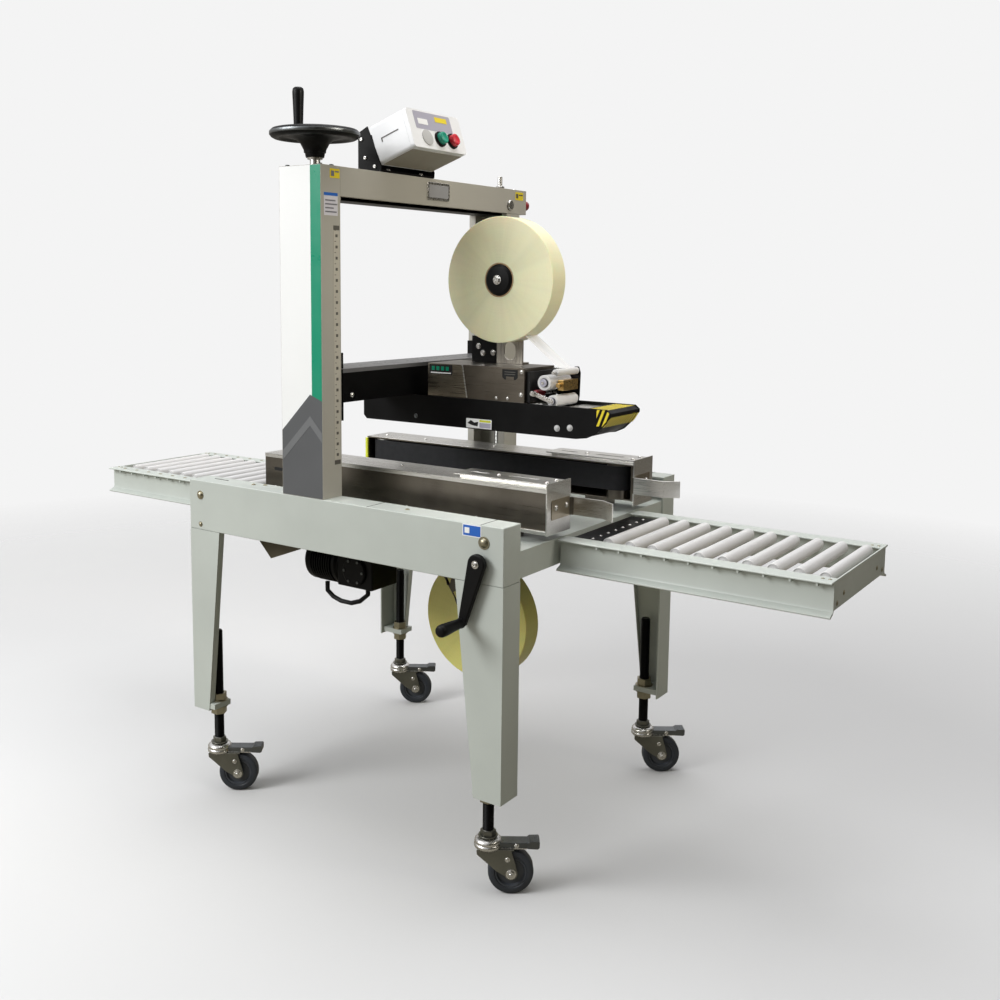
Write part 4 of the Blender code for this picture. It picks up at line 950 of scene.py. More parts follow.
def threaded(x, y, low, high, radius, pitch):
    profile = [(0, low), (radius * 0.8, low)]
    count = int((high - low - pitch) / pitch)
    for index in range(count):
        z = low + pitch * (index + 0.5)
        profile += [(radius * 0.9, z), (radius, z + pitch * 0.4), (radius, z + pitch * 0.6)]
    profile += [(radius * 0.8, high), (0, high)]
    return Shape().turned(profile, (x, y, 0), segments=24)


def casters():
    for side, way in SIDES.items():
        for end, along in ENDS.items():
            caster(f"{side}_{end}", along * 0.424, way * 0.378)


def caster(label, x, y):
    """One threaded stem with its foot nut, and its raceway, fork, brake pedal and wheel."""
    stem = f"stem_{label}"
    swivel = f"swivel_{label}"
    rod = threaded(x, y, 0.1284, 0.43, 0.0125, 0.003)
    rod.make(f"{stem}_thread", stem, BLACK_PAINT, "black_paint", 0, (stem,), 60)
    foot = Shape().turned(
        [(0, 0.1284), (0.0215, 0.1284), (0.0215, 0.1315), (0, 0.1315)],
        (x, y, 0),
        segments=40,
    )
    foot.nut((x, y, 0.1315), 0.0175, 0.011)
    foot.make(f"{stem}_nut", stem, SHADED_FORK_ZINC, "black_paint", 0.0008)
    axle_x = x + 0.05
    axle_z = 0.05
    raceway = [
        (0, 0.1025),
        (0.0275, 0.1025),
        (0.0305, 0.1060),
        (0.0310, 0.1105),
        (0.0296, 0.1130),
        (0.0285, 0.1140),
        (0.0296, 0.1150),
        (0.0303, 0.1175),
        (0.0292, 0.1215),
        (0.0255, 0.1250),
        (0.0190, 0.1272),
        (0, 0.1280),
    ]
    Shape().turned(raceway, (x, y, 0)).make(f"raceway_{label}", swivel, BRIGHT, "zinc", 0, (), 50)
    fork = Shape().box((x - 0.024, x + 0.056), (y - 0.0222, y + 0.0222), (0.1022, 0.1052))
    cheek = [
        (x + 0.05, 0.1042),
        (x - 0.0255, 0.1042),
        (x - 0.0245, 0.094),
        (x - 0.012, 0.083),
        (x + 0.018, 0.056),
        *arc((axle_x, axle_z), 0.0145, 200, 372, 16),
        (x + 0.058, 0.078),
        (x + 0.054, 0.09),
    ]
    for hand in (-1, 1):
        span = sorted((y + hand * 0.0185, y + hand * 0.0222))
        fork.flat([cheek], "y", *span)
    fork.swing(x, y, CASTER_TURN)
    fork.make(f"fork_body_{label}", swivel, SHADED_FORK_ZINC, "zinc", 0.0009, (f"fork_{label}",))
    fittings = Shape()
    for hand in (-1, 1):
        fittings.bolt((axle_x, y + hand * 0.0222, axle_z), (0, hand, 0), 0.0085, 0.006, 6)
        fittings.dome((axle_x, y + hand * 0.028, axle_z), (0, hand, 0), 0.005, 0.003)
        fittings.dome((x + 0.042, y + hand * 0.0222, 0.083), (0, hand, 0), 0.0045, 0.0025)
        fittings.dome((x + 0.062, y + hand * 0.0152, 0.1115), (0, hand, 0), 0.004, 0.0022)
    lip = [(x + 0.004, 0.1046), (x + 0.085, 0.1046), (x + 0.085, 0.1066), (x + 0.004, 0.1075)]
    fittings.flat([lip], "y", y - 0.0168, y - 0.0153)
    fittings.flat([lip], "y", y + 0.0153, y + 0.0168)
    fittings.swing(x, y, CASTER_TURN)
    fittings.make(f"axle_nuts_{label}", swivel, BRIGHT, "zinc", 0.0004)
    pedal = Shape().box((x + 0.012, x + 0.086), (y - 0.0152, y + 0.0152), (0.1165, 0.1185))
    for hand in (-1, 1):
        wall = sorted((y + hand * 0.0132, y + hand * 0.0152))
        pedal.flat(
            [[(x + 0.012, 0.1046), (x + 0.086, 0.1046), (x + 0.086, 0.1168), (x + 0.012, 0.1168)]],
            "y",
            *wall,
        )
    pad = [
        (x + 0.085, 0.1045),
        (x + 0.108, 0.1035),
        (x + 0.112, 0.1065),
        (x + 0.1125, 0.1195),
        (x + 0.110, 0.1225),
        (x + 0.090, 0.1215),
        (x + 0.085, 0.1175),
    ]
    pedal.flat([pad], "y", y - 0.0162, y + 0.0162)
    for step in range(4):
        place = x + 0.0915 + step * 0.0048
        pedal.box((place, place + 0.0018), (y - 0.014, y + 0.014), (0.1214, 0.1235))
    pedal.swing(x, y, CASTER_TURN)
    pedal.make(f"brake_pedal_{label}", swivel, DARK_ZINC, "zinc", 0.001)
    wheel = f"wheel_{label}"
    tread = [
        (0.0345, -0.0135),
        (0.0365, -0.0155),
        (0.0455, -0.016),
        (0.0488, -0.0138),
        (0.05, -0.0095),
        (0.05, 0.0095),
        (0.0488, 0.0138),
        (0.0455, 0.016),
        (0.0365, 0.0155),
        (0.0345, 0.0135),
    ]
    ring = Shape().turned(tread, (axle_x, y, axle_z), "y", 72).swing(x, y, CASTER_TURN)
    ring.make(f"{wheel}_tread", wheel, TREAD, "wheel_tread", 0, (wheel,), 40)
    half = [
        (0.0065, -0.0168),
        (0.0125, -0.0168),
        (0.0145, -0.010),
        (0.0285, -0.0095),
        (0.0315, -0.0145),
        (0.0345, -0.0148),
    ]
    hub = half + [(radius, -height) for radius, height in reversed(half)]
    disc = Shape().turned(hub, (axle_x, y, axle_z), "y", 64).swing(x, y, CASTER_TURN)
    disc.make(f"{wheel}_hub", wheel, HUB_GREY, "wheel_tread", 0, (), 40)


# ---------------------------------------------------------------- conveyors


def rail_section(way):
    """Channel open to the outside, with a level top flange and a bottom lip that slopes down and out."""
    outer = 0.2
    web = 0.182
    wall = 0.003
    points = [
        (outer - 0.045, 0.762),
        (outer - 0.0015, 0.762),
        (outer, 0.7605),
        (outer, 0.7582),
        (web + 0.002, 0.7578),
        (web, 0.7558),
        (web, 0.7055),
        (web + 0.0022, 0.7008),
        (outer - 0.002, 0.6953),
        (outer, 0.694),
        (outer, 0.6915),
        (outer - 0.002, 0.69),
        (web, 0.6965),
        (web - wall, 0.702),
        (web - wall, 0.759),
        (outer - 0.045, 0.759),
    ]
    return [(way * y, z) for y, z in points]


def conveyor(name, along):
    """Two rails, end plates, roller screws and the tabs under the rails' top edges."""
    near_end = 0.4785
    far_end = 1.086
    x = sorted((along * near_end, along * far_end))
    rails = Shape()
    for way in SIDES.values():
        rails.flat([rail_section(way)], "x", *x)
    half = 0.1788
    for low, high, roof in (
        (far_end - 0.004, far_end - 0.0004, 0.7615),
        (near_end + 0.0004, near_end + 0.0044, 0.732),
    ):
        rails.box(sorted((along * low, along * high)), (-half, half), (0.7022, roof))
    rails.make(f"{name}_rails", "frame", FRAME_PAINT, "frame_paint", 0.0009, (f"{name}_conveyor",))
    tabs = Shape()
    dots = Shape()
    for index in range(10):
        place = along * (0.577 - (0.02 if along < 0 else 0) + index * 0.0533)
        for way in SIDES.values():
            y = sorted((way * 0.1821, way * 0.1975))
            tabs.box((place - 0.0022, place + 0.0022), y, (0.7515, 0.7579))
            if along < 0:
                dots.dome((place, way * 0.178, 0.762), (0, 0, 1), 0.0042, 0.0018)
    tabs.make(f"{name}_rail_tabs", "frame", FRAME_PAINT, "frame_paint", 0.0005)
    for way in SIDES.values():
        for y, z in ((0.16, 0.714), (0.118, 0.726)):
            dots.dome((along * far_end, way * y, z), (along, 0, 0), 0.0042, 0.002)
        for step in (0.012, 0.026):
            dots.dome((along * (far_end - step), way * 0.172, 0.762), (0, 0, 1), 0.003, 0.0014)
    dots.make(f"{name}_rail_screws", "frame", OLIVE_ZINC, "zinc", 0)


def entry_plate():
    """Black plate with a row of small studs between the bed and the first roller."""
    plate = Shape().box((0.4865, 0.5575), (-0.15, 0.15), (0.752, 0.757))
    plate.box((0.4865, 0.49), (-0.15, 0.15), (0.736, 0.757))
    plate.make("entry_plate", "frame", BLACK_PAINT, "black_paint", 0.0008)
    studs = Shape()
    for index in range(8):
        studs.dome((0.53, -0.126 + index * 0.036, 0.757), (0, 0, 1), 0.0032, 0.0022)
    studs.make("entry_plate_studs", "frame", BRIGHT, "zinc", 0)


def exit_rollers():
    tubes = Shape()
    shafts = Shape()
    for index in range(ROLLER_COUNT):
        x = -(EXIT_FIRST + index * EXIT_PITCH)
        roller_shape(tubes, x, EXIT_ROLLER_Z, ROLLER_HALF, EXIT_ROLLER_RADIUS, ROLLER_BORE)
        ends = [(x, way * EXIT_SHAFT_HALF, EXIT_ROLLER_Z) for way in SIDES.values()]
        shafts.rod(*ends, ROLLER_SHAFT, 6)
    tubes.make("exit_roller_tubes", "frame", ROLLER_WHITE, "roller_plastic", 0)
    shafts.make("exit_roller_shafts", "frame", BRIGHT, "zinc", 0)


# ---------------------------------------------------------------- beam, control box and handwheel


def beam_details():
    face = -0.021
    top = 1.585
    plate = Shape().flat([rounded((-0.022, 0.072), (1.532, 1.576), 0.006)], "x", face, face + 0.003)
    plate.make("beam_badge", "frame", BRIGHT, "stainless", 0.0008)
    panel = Shape().flat(
        [rounded((-0.016, 0.066), (1.538, 1.570), 0.003)],
        "x",
        face + 0.003,
        face + 0.0034,
    )
    panel.make("beam_badge_field", "frame", BADGE_GREY, "stainless", 0)
    label = Shape().box((face, face + SKIN), (0.39, 0.43), (1.557, 1.579))
    label.make("beam_yellow_label", "frame", YELLOW_FILM, "column_paint", 0)
    marks = Shape().box((face + SKIN, face + 2 * SKIN), (0.394, 0.404), (1.562, 1.574))
    marks.box((face + SKIN, face + 2 * SKIN), (0.408, 0.427), (1.570, 1.573))
    marks.make("beam_label_marks", "frame", SCALE_INK, "column_paint", 0)
    cover = Shape().box((face - 0.0595, face - 0.002), (-0.345, 0.327), (1.5085, 1.5178))
    cover.make("chain_cover", "frame", BLACK_PAINT, "black_paint", 0.0008)
    fittings = Shape().nut((-0.06, 0.37, top), 0.0125, 0.009)
    fittings.rod((-0.06, 0.37, top + 0.009), (-0.06, 0.37, 1.6208), 0.0064, 24)
    fittings.bolt((-0.05, 0.425, top), (0, 0, 1), 0.006, 0.005)
    fittings.turned(
        [(0, 0.001), (0.013, 0.001), (0.0145, 0.004), (0.012, 0.007), (0, 0.0075)],
        (face, 0.361, 1.541),
        "x",
    )
    fittings.make("beam_fittings", "frame", BRIGHT, "zinc", 0.0006)
    knob = [
        (0, 0.0003),
        (0.010, 0.0003),
        (0.012, 0.004),
        (0.0135, 0.009),
        (0.0135, 0.026),
        (0.011, 0.03),
        (0, 0.031),
    ]
    Shape().turned(knob, (-0.04, 0.447, 1.545), "y").make(
        "beam_end_knob",
        "frame",
        RED_PLASTIC,
        "button_red",
        0,
    )
    caps = Shape()
    for x in (-0.135, -0.035):
        caps.bolt((x, -0.4, top), (0, 0, 1), 0.0055, 0.004)
        caps.bolt((x, -0.362, top), (0, 0, 1), 0.0055, 0.004)
    caps.make("column_cap_screws", "frame", DARK_ZINC, "zinc", 0.0004)


def control_box():
    """White shell tilted back in a black bracket, with a blank label, a blank disc and two push buttons."""
    centre = Vector((0.011, -0.095, 1.666))
    half_x, half_y, half_z = 0.0565, 0.105, 0.0485
    tilt = Matrix.Rotation(math.radians(-19), 4, "Y")
    place = Matrix.Translation(centre) @ tilt
    buttons = (
        ("start_button", 0.003, BUTTON_GREEN, "button_green"),
        ("stop_button", 0.051, BUTTON_RED, "button_red"),
    )
    low = -0.02
    outline = rounded((-half_y, half_y), (-half_z, half_z), 0.009, 6)
    pockets = [arc((y, low), 0.0165, 0, 352.5, 47) for name, y, look, slot in buttons]
    front = Shape().flat([outline, *pockets], "x", half_x - 0.012, half_x, place)
    front.flat([outline], "x", -half_x, half_x - 0.0122, place)
    front.make("control_box_shell", "frame", BOX_WHITE, "box_white", 0.0022, ("control_box",))
    # Thin taupe plate under the white shell: painted shade on the box's underside.
    under = Shape().box(
        (-half_x + 0.006, half_x - 0.014),
        (-half_y + 0.008, half_y - 0.008),
        (-half_z - 0.001, -half_z),
        place,
    )
    under.make("control_box_underside_shade", "frame", UNDERSIDE_SHADE_PAINT, "box_white", 0)
    cheek = [(-0.0935, 1.5858), (-0.022, 1.5858), (-0.0205, 1.6), (-0.0645, 1.694), (-0.0935, 1.68)]
    bracket = Shape()
    for y in ((-0.2012, -0.1985), (0.0085, 0.0112)):
        bracket.flat([cheek], "y", *y)
    bracket.box((-0.0935, -0.0885), (-0.1985, 0.0085), (1.5858, 1.68))
    bracket.box((-0.0885, -0.024), (-0.1985, 0.0085), (1.5858, 1.591))
    bracket.make("control_box_bracket", "frame", BLACK_PAINT, "black_paint", 0.001)
    screws = Shape()
    for x, z in ((-0.082, 1.664), (-0.07, 1.62), (-0.04, 1.598)):
        screws.bolt((x, -0.2012, z), (0, -1, 0), 0.0045, 0.0035)
    for y in (-0.16, -0.03):
        screws.bolt((-0.0345, y, 1.591), (0, 0, 1), 0.0055, 0.004, 6)
    screws.make("control_box_screws", "frame", BRIGHT, "zinc", 0.0003)
    latch = Shape().box((-0.032, 0.022), (-half_y - 0.0012, -half_y), (0.0065, 0.0090), place)
    latch.box((-0.032, -0.0295), (-half_y - 0.0012, -half_y), (-0.002, 0.0090), place)
    latch.make("control_box_side_mark", "frame", SCALE_INK, "box_white", 0.0003)
    face = (half_x, half_x + SKIN)
    raised = (half_x + SKIN, half_x + 2 * SKIN)
    label = Shape().flat([rounded((-0.08, 0.066), (0.0, 0.044), 0.003)], "x", *face, place)
    label.make("control_box_label", "frame", LILAC_FILM, "box_white", 0)
    Shape().box(raised, (0.002, 0.05), (0.024, 0.037), place).make(
        "control_box_yellow_patch",
        "frame",
        YELLOW_FILM,
        "box_white",
        0,
    )
    Shape().box(raised, (-0.068, -0.03), (0.012, 0.026), place).make(
        "control_box_pale_patch",
        "frame",
        WHITE_FILM,
        "box_white",
        0,
    )
    disc = [
        (0, half_x),
        (0.0195, half_x),
        (0.0195, half_x + 0.002),
        (0.0165, half_x + 0.0026),
        (0, half_x + 0.0018),
    ]
    seat = place @ Matrix.Translation((0, -0.046, low)) @ TURN_TO["x"]
    Shape().absorb(Shape().turned(disc, (0, 0, 0)).mesh, seat).make(
        "control_box_blank",
        "frame",
        LID_PAINT,
        "box_white",
        0,
    )
    for name, y, look, slot in buttons:
        seat = place @ Matrix.Translation((half_x, y, low)) @ TURN_TO["x"]
        ring = [(0.0158, 0), (0.0192, 0), (0.0192, 0.003), (0.0182, 0.006), (0.0158, 0.006)]
        Shape().absorb(Shape().turned(ring, (0, 0, 0)).mesh, seat).make(
            f"{name}_bezel",
            "frame",
            BLACK_PLASTIC,
            "black_plastic",
            0,
        )
        cap = [
            (0, -0.005),
            (0.0150, -0.005),
            (0.0150, 0.0125),
            (0.0138, 0.0158),
            (0.0105, 0.017),
            (0.009, 0.0163),
            (0, 0.0158),
        ]
        Shape().absorb(Shape().turned(cap, (0, 0, 0)).mesh, seat).make(
            f"{name}_cap",
            name,
            look,
            slot,
            0,
            (name,),
        )


def handwheel():
    centre = (-0.066, -0.382, 0)
    profile = [
        (0, 1.603),
        (0.0205, 1.603),
        (0.0215, 1.606),
        (0.0225, 1.6125),
        (0.0250, 1.614),
        (0.0255, 1.6200),
        (0.0330, 1.6340),
        (0.0440, 1.6430),
        (0.0560, 1.6465),
        (0.0740, 1.6490),
        (0.0795, 1.6470),
        (0.0815, 1.6450),
        (0.0860, 1.6440),
        (0.0930, 1.6445),
        (0.0985, 1.6475),
        (0.1015, 1.6520),
        (0.1020, 1.6560),
        (0.1005, 1.6610),
        (0.0960, 1.6650),
        (0.0900, 1.6660),
        (0.0840, 1.6645),
        (0.0800, 1.6620),
        (0.0760, 1.6580),
        (0.0560, 1.6560),
        (0.0300, 1.6550),
        (0.0270, 1.6600),
        (0.0220, 1.6625),
        (0, 1.6625),
    ]
    wheel = Shape().turned(profile, centre, segments=128)
    wheel.make("handwheel_disc", "handwheel", BLACK_PLASTIC, "black_plastic", 0, ("handwheel",), 50)
    # Thin dark-zinc ring round the black plastic rim: a painted sheen line.
    band = [
        (0.1018, 1.6518),
        (0.1023, 1.6526),
        (0.1023, 1.6588),
        (0.1018, 1.6596),
        (0.101, 1.6596),
        (0.101, 1.6518),
    ]
    Shape().turned(band, centre, segments=128).make(
        "handwheel_rim_sheen",
        "handwheel",
        DARK_ZINC,
        "black_plastic",
        0,
    )
    shaft = [
        (0, 1.5652),
        (0.0118, 1.5652),
        (0.0118, 1.5985),
        (0.0170, 1.5990),
        (0.0175, 1.6030),
        (0, 1.6030),
    ]
    Shape().turned(shaft, centre).make("handwheel_shaft", "handwheel", BRIGHT, "zinc", 0)
    nut = Shape().nut((centre[0], centre[1], 1.6625), 0.011, 0.007)
    nut.make("handwheel_nut", "handwheel", BRIGHT, "zinc", 0.0005)
    turn = math.radians(160)
    grip_at = (centre[0] + 0.082 * math.cos(turn), centre[1] + 0.082 * math.sin(turn), 0)
    grip = [
        (0, 1.664),
        (0.0065, 1.664),
        (0.0065, 1.6700),
        (0.0100, 1.6710),
        (0.0108, 1.6750),
        (0.0112, 1.6950),
        (0.0122, 1.7250),
        (0.0133, 1.7520),
        (0.0135, 1.7600),
        (0.0122, 1.7665),
        (0.0085, 1.7695),
        (0, 1.7700),
    ]
    Shape().turned(grip, grip_at, segments=48).make(
        "handwheel_grip",
        "handwheel",
        BLACK_PLASTIC,
        "black_plastic",
        0,
        (),
        60,
    )


def crank():
    """Crank arm with a washer and screw on its hub, and a tapered grip."""
    hub = (0.422, 0.744)
    tip = (0.387, 0.613)
    lean = math.degrees(math.atan2(tip[1] - hub[1], tip[0] - hub[0]))
    outline = [*arc(hub, 0.0212, lean + 90, lean + 270, 24), *arc(tip, 0.0097, lean - 90, lean + 90, 16)]
    arm = Shape().flat([outline], "y", -0.435, -0.4215)
    arm.make("crank_arm", "width_crank", BLACK_PLASTIC, "black_plastic", 0.0035, ("width_crank",))
    boss = Shape().rod((hub[0], -0.4217, hub[1]), (hub[0], -0.4132, hub[1]), 0.014, 40)
    boss.rod((hub[0], -0.4132, hub[1]), (hub[0], -0.386, hub[1]), 0.0088, 32)
    boss.make("crank_shaft", "width_crank", DARK_ZINC, "zinc", 0.0006)
    screw = Shape().turned([(0, 0), (0.0085, 0), (0.0085, 0.0014), (0, 0.0014)], (0, 0, 0))
    screw.bolt((0, 0, 0.0014), (0, 0, 1), 0.0055, 0.0038)
    facing = Matrix.Translation((hub[0], -0.435, hub[1])) @ Matrix.Rotation(math.pi / 2, 4, "X")
    Shape().absorb(screw.mesh, facing).make("crank_screw", "width_crank", BRIGHT, "zinc", 0)
    grip = [
        (0, -0.512),
        (0.0085, -0.5117),
        (0.0118, -0.5095),
        (0.0133, -0.505),
        (0.0135, -0.497),
        (0.0125, -0.475),
        (0.0110, -0.452),
        (0.0105, -0.4405),
        (0.0115, -0.4375),
        (0.0115, -0.4345),
        (0, -0.4345),
    ]
    Shape().turned(grip, (tip[0], 0, tip[1]), "y", 48).make(
        "crank_grip",
        "width_crank",
        BLACK_PLASTIC,
        "black_plastic",
        0,
        (),
        50,
    )


# ---------------------------------------------------------------- upper head


def crossarm_details():
    roof = 1.122
    lid = Shape().box((-0.1355, -0.0205), (-0.3425, 0.3425), (roof, roof + 0.0012))
    lid.box((-0.021, -0.0202), (-0.3425, 0.3425), (roof - 0.0085, roof + 0.0012))
    lid.make("crossarm_lid", "lift_head", LID_DARK, "black_paint", 0.0005)
    bolts = Shape()
    for z in (1.02, 1.034, 1.142):
        bolts.dome((-0.05, 0.329, z), (0, -1, 0), 0.0055, 0.004)
        bolts.dome((-0.05, -0.329, z), (0, 1, 0), 0.0055, 0.004)
    for y in (-0.31, 0.31):
        bolts.dome((-0.021, y, 1.06), (1, 0, 0), 0.0055, 0.004)
    bolts.make("crossarm_bolts", "lift_head", BRIGHT, "zinc", 0)
    hanger = Shape()
    for x in (-0.105, -0.055):
        hanger.dome((x, 0.073, 1.022), (0, 1, 0), 0.006, 0.0042)
    hanger.make("head_hanger_bolts", "lift_head", DARK_ZINC, "zinc", 0)


def nose_stripes():
    """Diagonal stripes on the front slope of the nose, which lean less towards the far side."""
    foot = Vector((0.516, 0, 0.997))
    brow = Vector((0.540, 0, 1.026))
    slope = brow - foot
    facing = Vector((slope.z, 0, -slope.x)).normalized()
    along = slope.normalized()
    place = Matrix((
        (0, along.x, facing.x, foot.x),
        (1, 0, 0, 0),
        (0, along.z, facing.z, foot.z),
        (0, 0, 0, 1),
    ))
    stripes = Shape()
    reach = slope.length
    border = [(-0.073, 0.006), (0.073, 0.006), (0.073, reach - 0.0005), (-0.073, reach - 0.0005)]
    for index in range(11):
        start = -0.098 + index * 0.017
        lean = 0.03 - index * 0.0045
        band = [(start, 0), (start + 0.008, 0), (start + 0.008 + lean, reach), (start + lean, reach)]
        piece = clipped(band, border)
        if len(piece) > 2:
            stripes.flat([piece], "z", 0.0, SKIN, place)
    stripes.make("nose_front_stripes", "lift_head", YELLOW_FILM, "black_paint", 0)


def head_details():
    for side, way in SIDES.items():
        face = way * 0.073
        bolts = Shape()
        for x, z in ((0.4, 0.991), (0.434, 0.9945)):
            bolts.dome((x, face, z), (0, way, 0), 0.0058, 0.0035)
        bolts.make(f"{side}_head_bolts", "lift_head", LID_PAINT, "zinc", 0)
        small = Shape().dome((-0.014, face, 0.989), (0, way, 0), 0.0045, 0.003)
        small.make(f"{side}_head_rear_bolt", "lift_head", DARK_ZINC, "zinc", 0)
        border = [
            (0.503, 1.004),
            (0.5175, 1.004),
            (0.5375, 1.0275),
            (0.5375, 1.033),
            (0.527, 1.0418),
            (0.503, 1.0418),
        ]
        stripes = Shape()
        y = sorted((face, face + way * SKIN))
        for index in range(4):
            start = 0.486 + index * 0.0135
            band = [(start, 0.995), (start + 0.0062, 0.995), (start + 0.0262, 1.045), (start + 0.02, 1.045)]
            piece = clipped(band, border)
            if len(piece) > 2:
                stripes.flat([piece], "y", *y)
        stripes.make(f"{side}_nose_stripes", "lift_head", YELLOW_FILM, "black_paint", 0)
    nose_stripes()
    border = [(0.478, -0.071), (0.5265, -0.071), (0.5265, 0.071), (0.478, 0.071)]
    stripes = Shape()
    for index in range(14):
        start = -0.1 + index * 0.0145
        band = [(0.47, start), (0.535, start + 0.026), (0.535, start + 0.033), (0.47, start + 0.007)]
        piece = clipped(band, border)
        if len(piece) > 2:
            stripes.flat([piece], "z", 1.041, 1.041 + SKIN)
    stripes.make("nose_top_stripes", "lift_head", YELLOW_FILM, "black_paint", 0)
    tray = Shape().box((0.39, 0.478), (-0.0685, 0.0685), (1.032, 1.0345))
    tray.make("nose_wear_plate", "lift_head", LID_STEEL, "stainless", 0.0005)
    face = (-0.073 - SKIN, -0.073)
    raised = (-0.073 - 2 * SKIN, -0.073 - SKIN)
    sticker = Shape().flat([rounded((0.142, 0.217), (0.9725, 0.9955), 0.002)], "y", *face)
    sticker.make("head_sticker", "lift_head", WHITE_FILM, "black_paint", 0)
    Shape().box((0.182, 0.2145), raised, (0.9885, 0.9935)).make(
        "head_sticker_bar",
        "lift_head",
        YELLOW_RUBBER,
        "black_paint",
        0,
    )
    Shape().box((0.182, 0.2145), raised, (0.9745, 0.9865)).make(
        "head_sticker_grey",
        "lift_head",
        LILAC_FILM,
        "black_paint",
        0,
    )
    shape = [
        (0.146, 0.9835),
        (0.156, 0.9915),
        (0.166, 0.986),
        (0.178, 0.9885),
        (0.176, 0.9775),
        (0.160, 0.979),
    ]
    Shape().flat([shape], "y", *raised).make("head_sticker_shape", "lift_head", INK_AND_SHADE_BLACK, "black_paint", 0)


def cartridge_details():
    face = -0.0687
    near = (face - SKIN, face)
    raised = (face - 2 * SKIN, face - SKIN)
    left = [(0.0215, 1.0445), (0.139, 1.0445), (0.1245, 1.1245), (0.0215, 1.1245)]
    Shape().flat([left], "y", *near).make("cartridge_left_sheet", "lift_head", WARM_STEEL, "stainless", 0)
    fold = [(0.139, 1.0445), (0.1425, 1.0445), (0.1280, 1.1245), (0.1245, 1.1245)]
    Shape().flat([fold], "y", face - 0.0012, face).make(
        "cartridge_fold",
        "lift_head",
        LID_STEEL,
        "stainless",
        0.0004,
    )
    label = Shape().box((0.026, 0.096), (face - 2 * SKIN, face - SKIN), (1.0985, 1.1225))
    label.make("cartridge_label", "lift_head", INK_AND_SHADE_BLACK, "stainless", 0)
    bar = Shape().box((0.030, 0.092), (face - 3 * SKIN, face - 2 * SKIN), (1.1005, 1.1035))
    bar.make("cartridge_label_bar", "lift_head", WHITE_FILM, "stainless", 0)
    green = Shape()
    for index in range(4):
        start = 0.033 + index * 0.0145
        green.box((start, start + 0.009), (face - 3 * SKIN, face - 2 * SKIN), (1.108, 1.118))
    green.make("cartridge_label_marks", "lift_head", GREEN_FILM, "stainless", 0)
    arch = [
        (0.2435, 1.1205),
        (0.2435, 1.1010),
        (0.2500, 1.0960),
        (0.2540, 1.0960),
        (0.2540, 1.1035),
        (0.2765, 1.1035),
        (0.2765, 1.0960),
        (0.2805, 1.0960),
        (0.2870, 1.1010),
        (0.2870, 1.1205),
    ]
    Shape().flat([arch], "y", *near).make("cartridge_arch_label", "lift_head", INK_AND_SHADE_BLACK, "stainless", 0)
    lines = Shape()
    for z in (1.108, 1.1135):
        lines.box((0.2500, 0.2805), raised, (z, z + 0.0016))
    lines.make("cartridge_arch_lines", "lift_head", SCALE_INK, "stainless", 0)
    screws = Shape()
    for x, z, radius in (
        (0.227, 1.05, 0.0032),
        (0.259, 1.051, 0.0032),
        (0.298, 1.1165, 0.004),
        (0.297, 1.062, 0.0042),
    ):
        screws.dome((x, face, z), (0, -1, 0), radius, radius * 0.7)
        screws.dome((x, -face, z), (0, 1, 0), radius, radius * 0.7)
    screws.make("cartridge_screws", "lift_head", BRIGHT, "zinc", 0)
    plate = Shape().box((0.083, 0.1575), (0.0335, 0.0395), (1.1256, 1.192))
    plate.box((0.085, 0.1565), (0.0395, 0.062), (1.1256, 1.1296))
    plate.make("mast_side_plate", "lift_head", BLACK_PAINT, "black_paint", 0.0008)
    bolts = Shape()
    for x, z in ((0.104, 1.166), (0.117, 1.149), (0.148, 1.151)):
        bolts.bolt((x, 0.0335, z), (0, -1, 0), 0.0055, 0.004, 6)
    bolts.make("mast_side_bolts", "lift_head", BRIGHT, "zinc", 0.0003)
    inner = Shape().box((0.3064, 0.3165), (-0.06, 0.064), (1.044, 1.117))
    inner.make("cartridge_front_block", "lift_head", INK_AND_SHADE_BLACK, "black_paint", 0.0008)
    trim = Shape().box((0.3064, 0.331), (0.0595, 0.064), (1.117, 1.1205))
    trim.box((0.3064, 0.345), (-0.05, 0.05), (1.0385, 1.0415))
    trim.rod((0.3064, -0.052, 1.063), (0.3175, -0.052, 1.0665), 0.0022, 16)
    trim.make("cartridge_front_trim", "lift_head", LID_STEEL, "stainless", 0.0003)


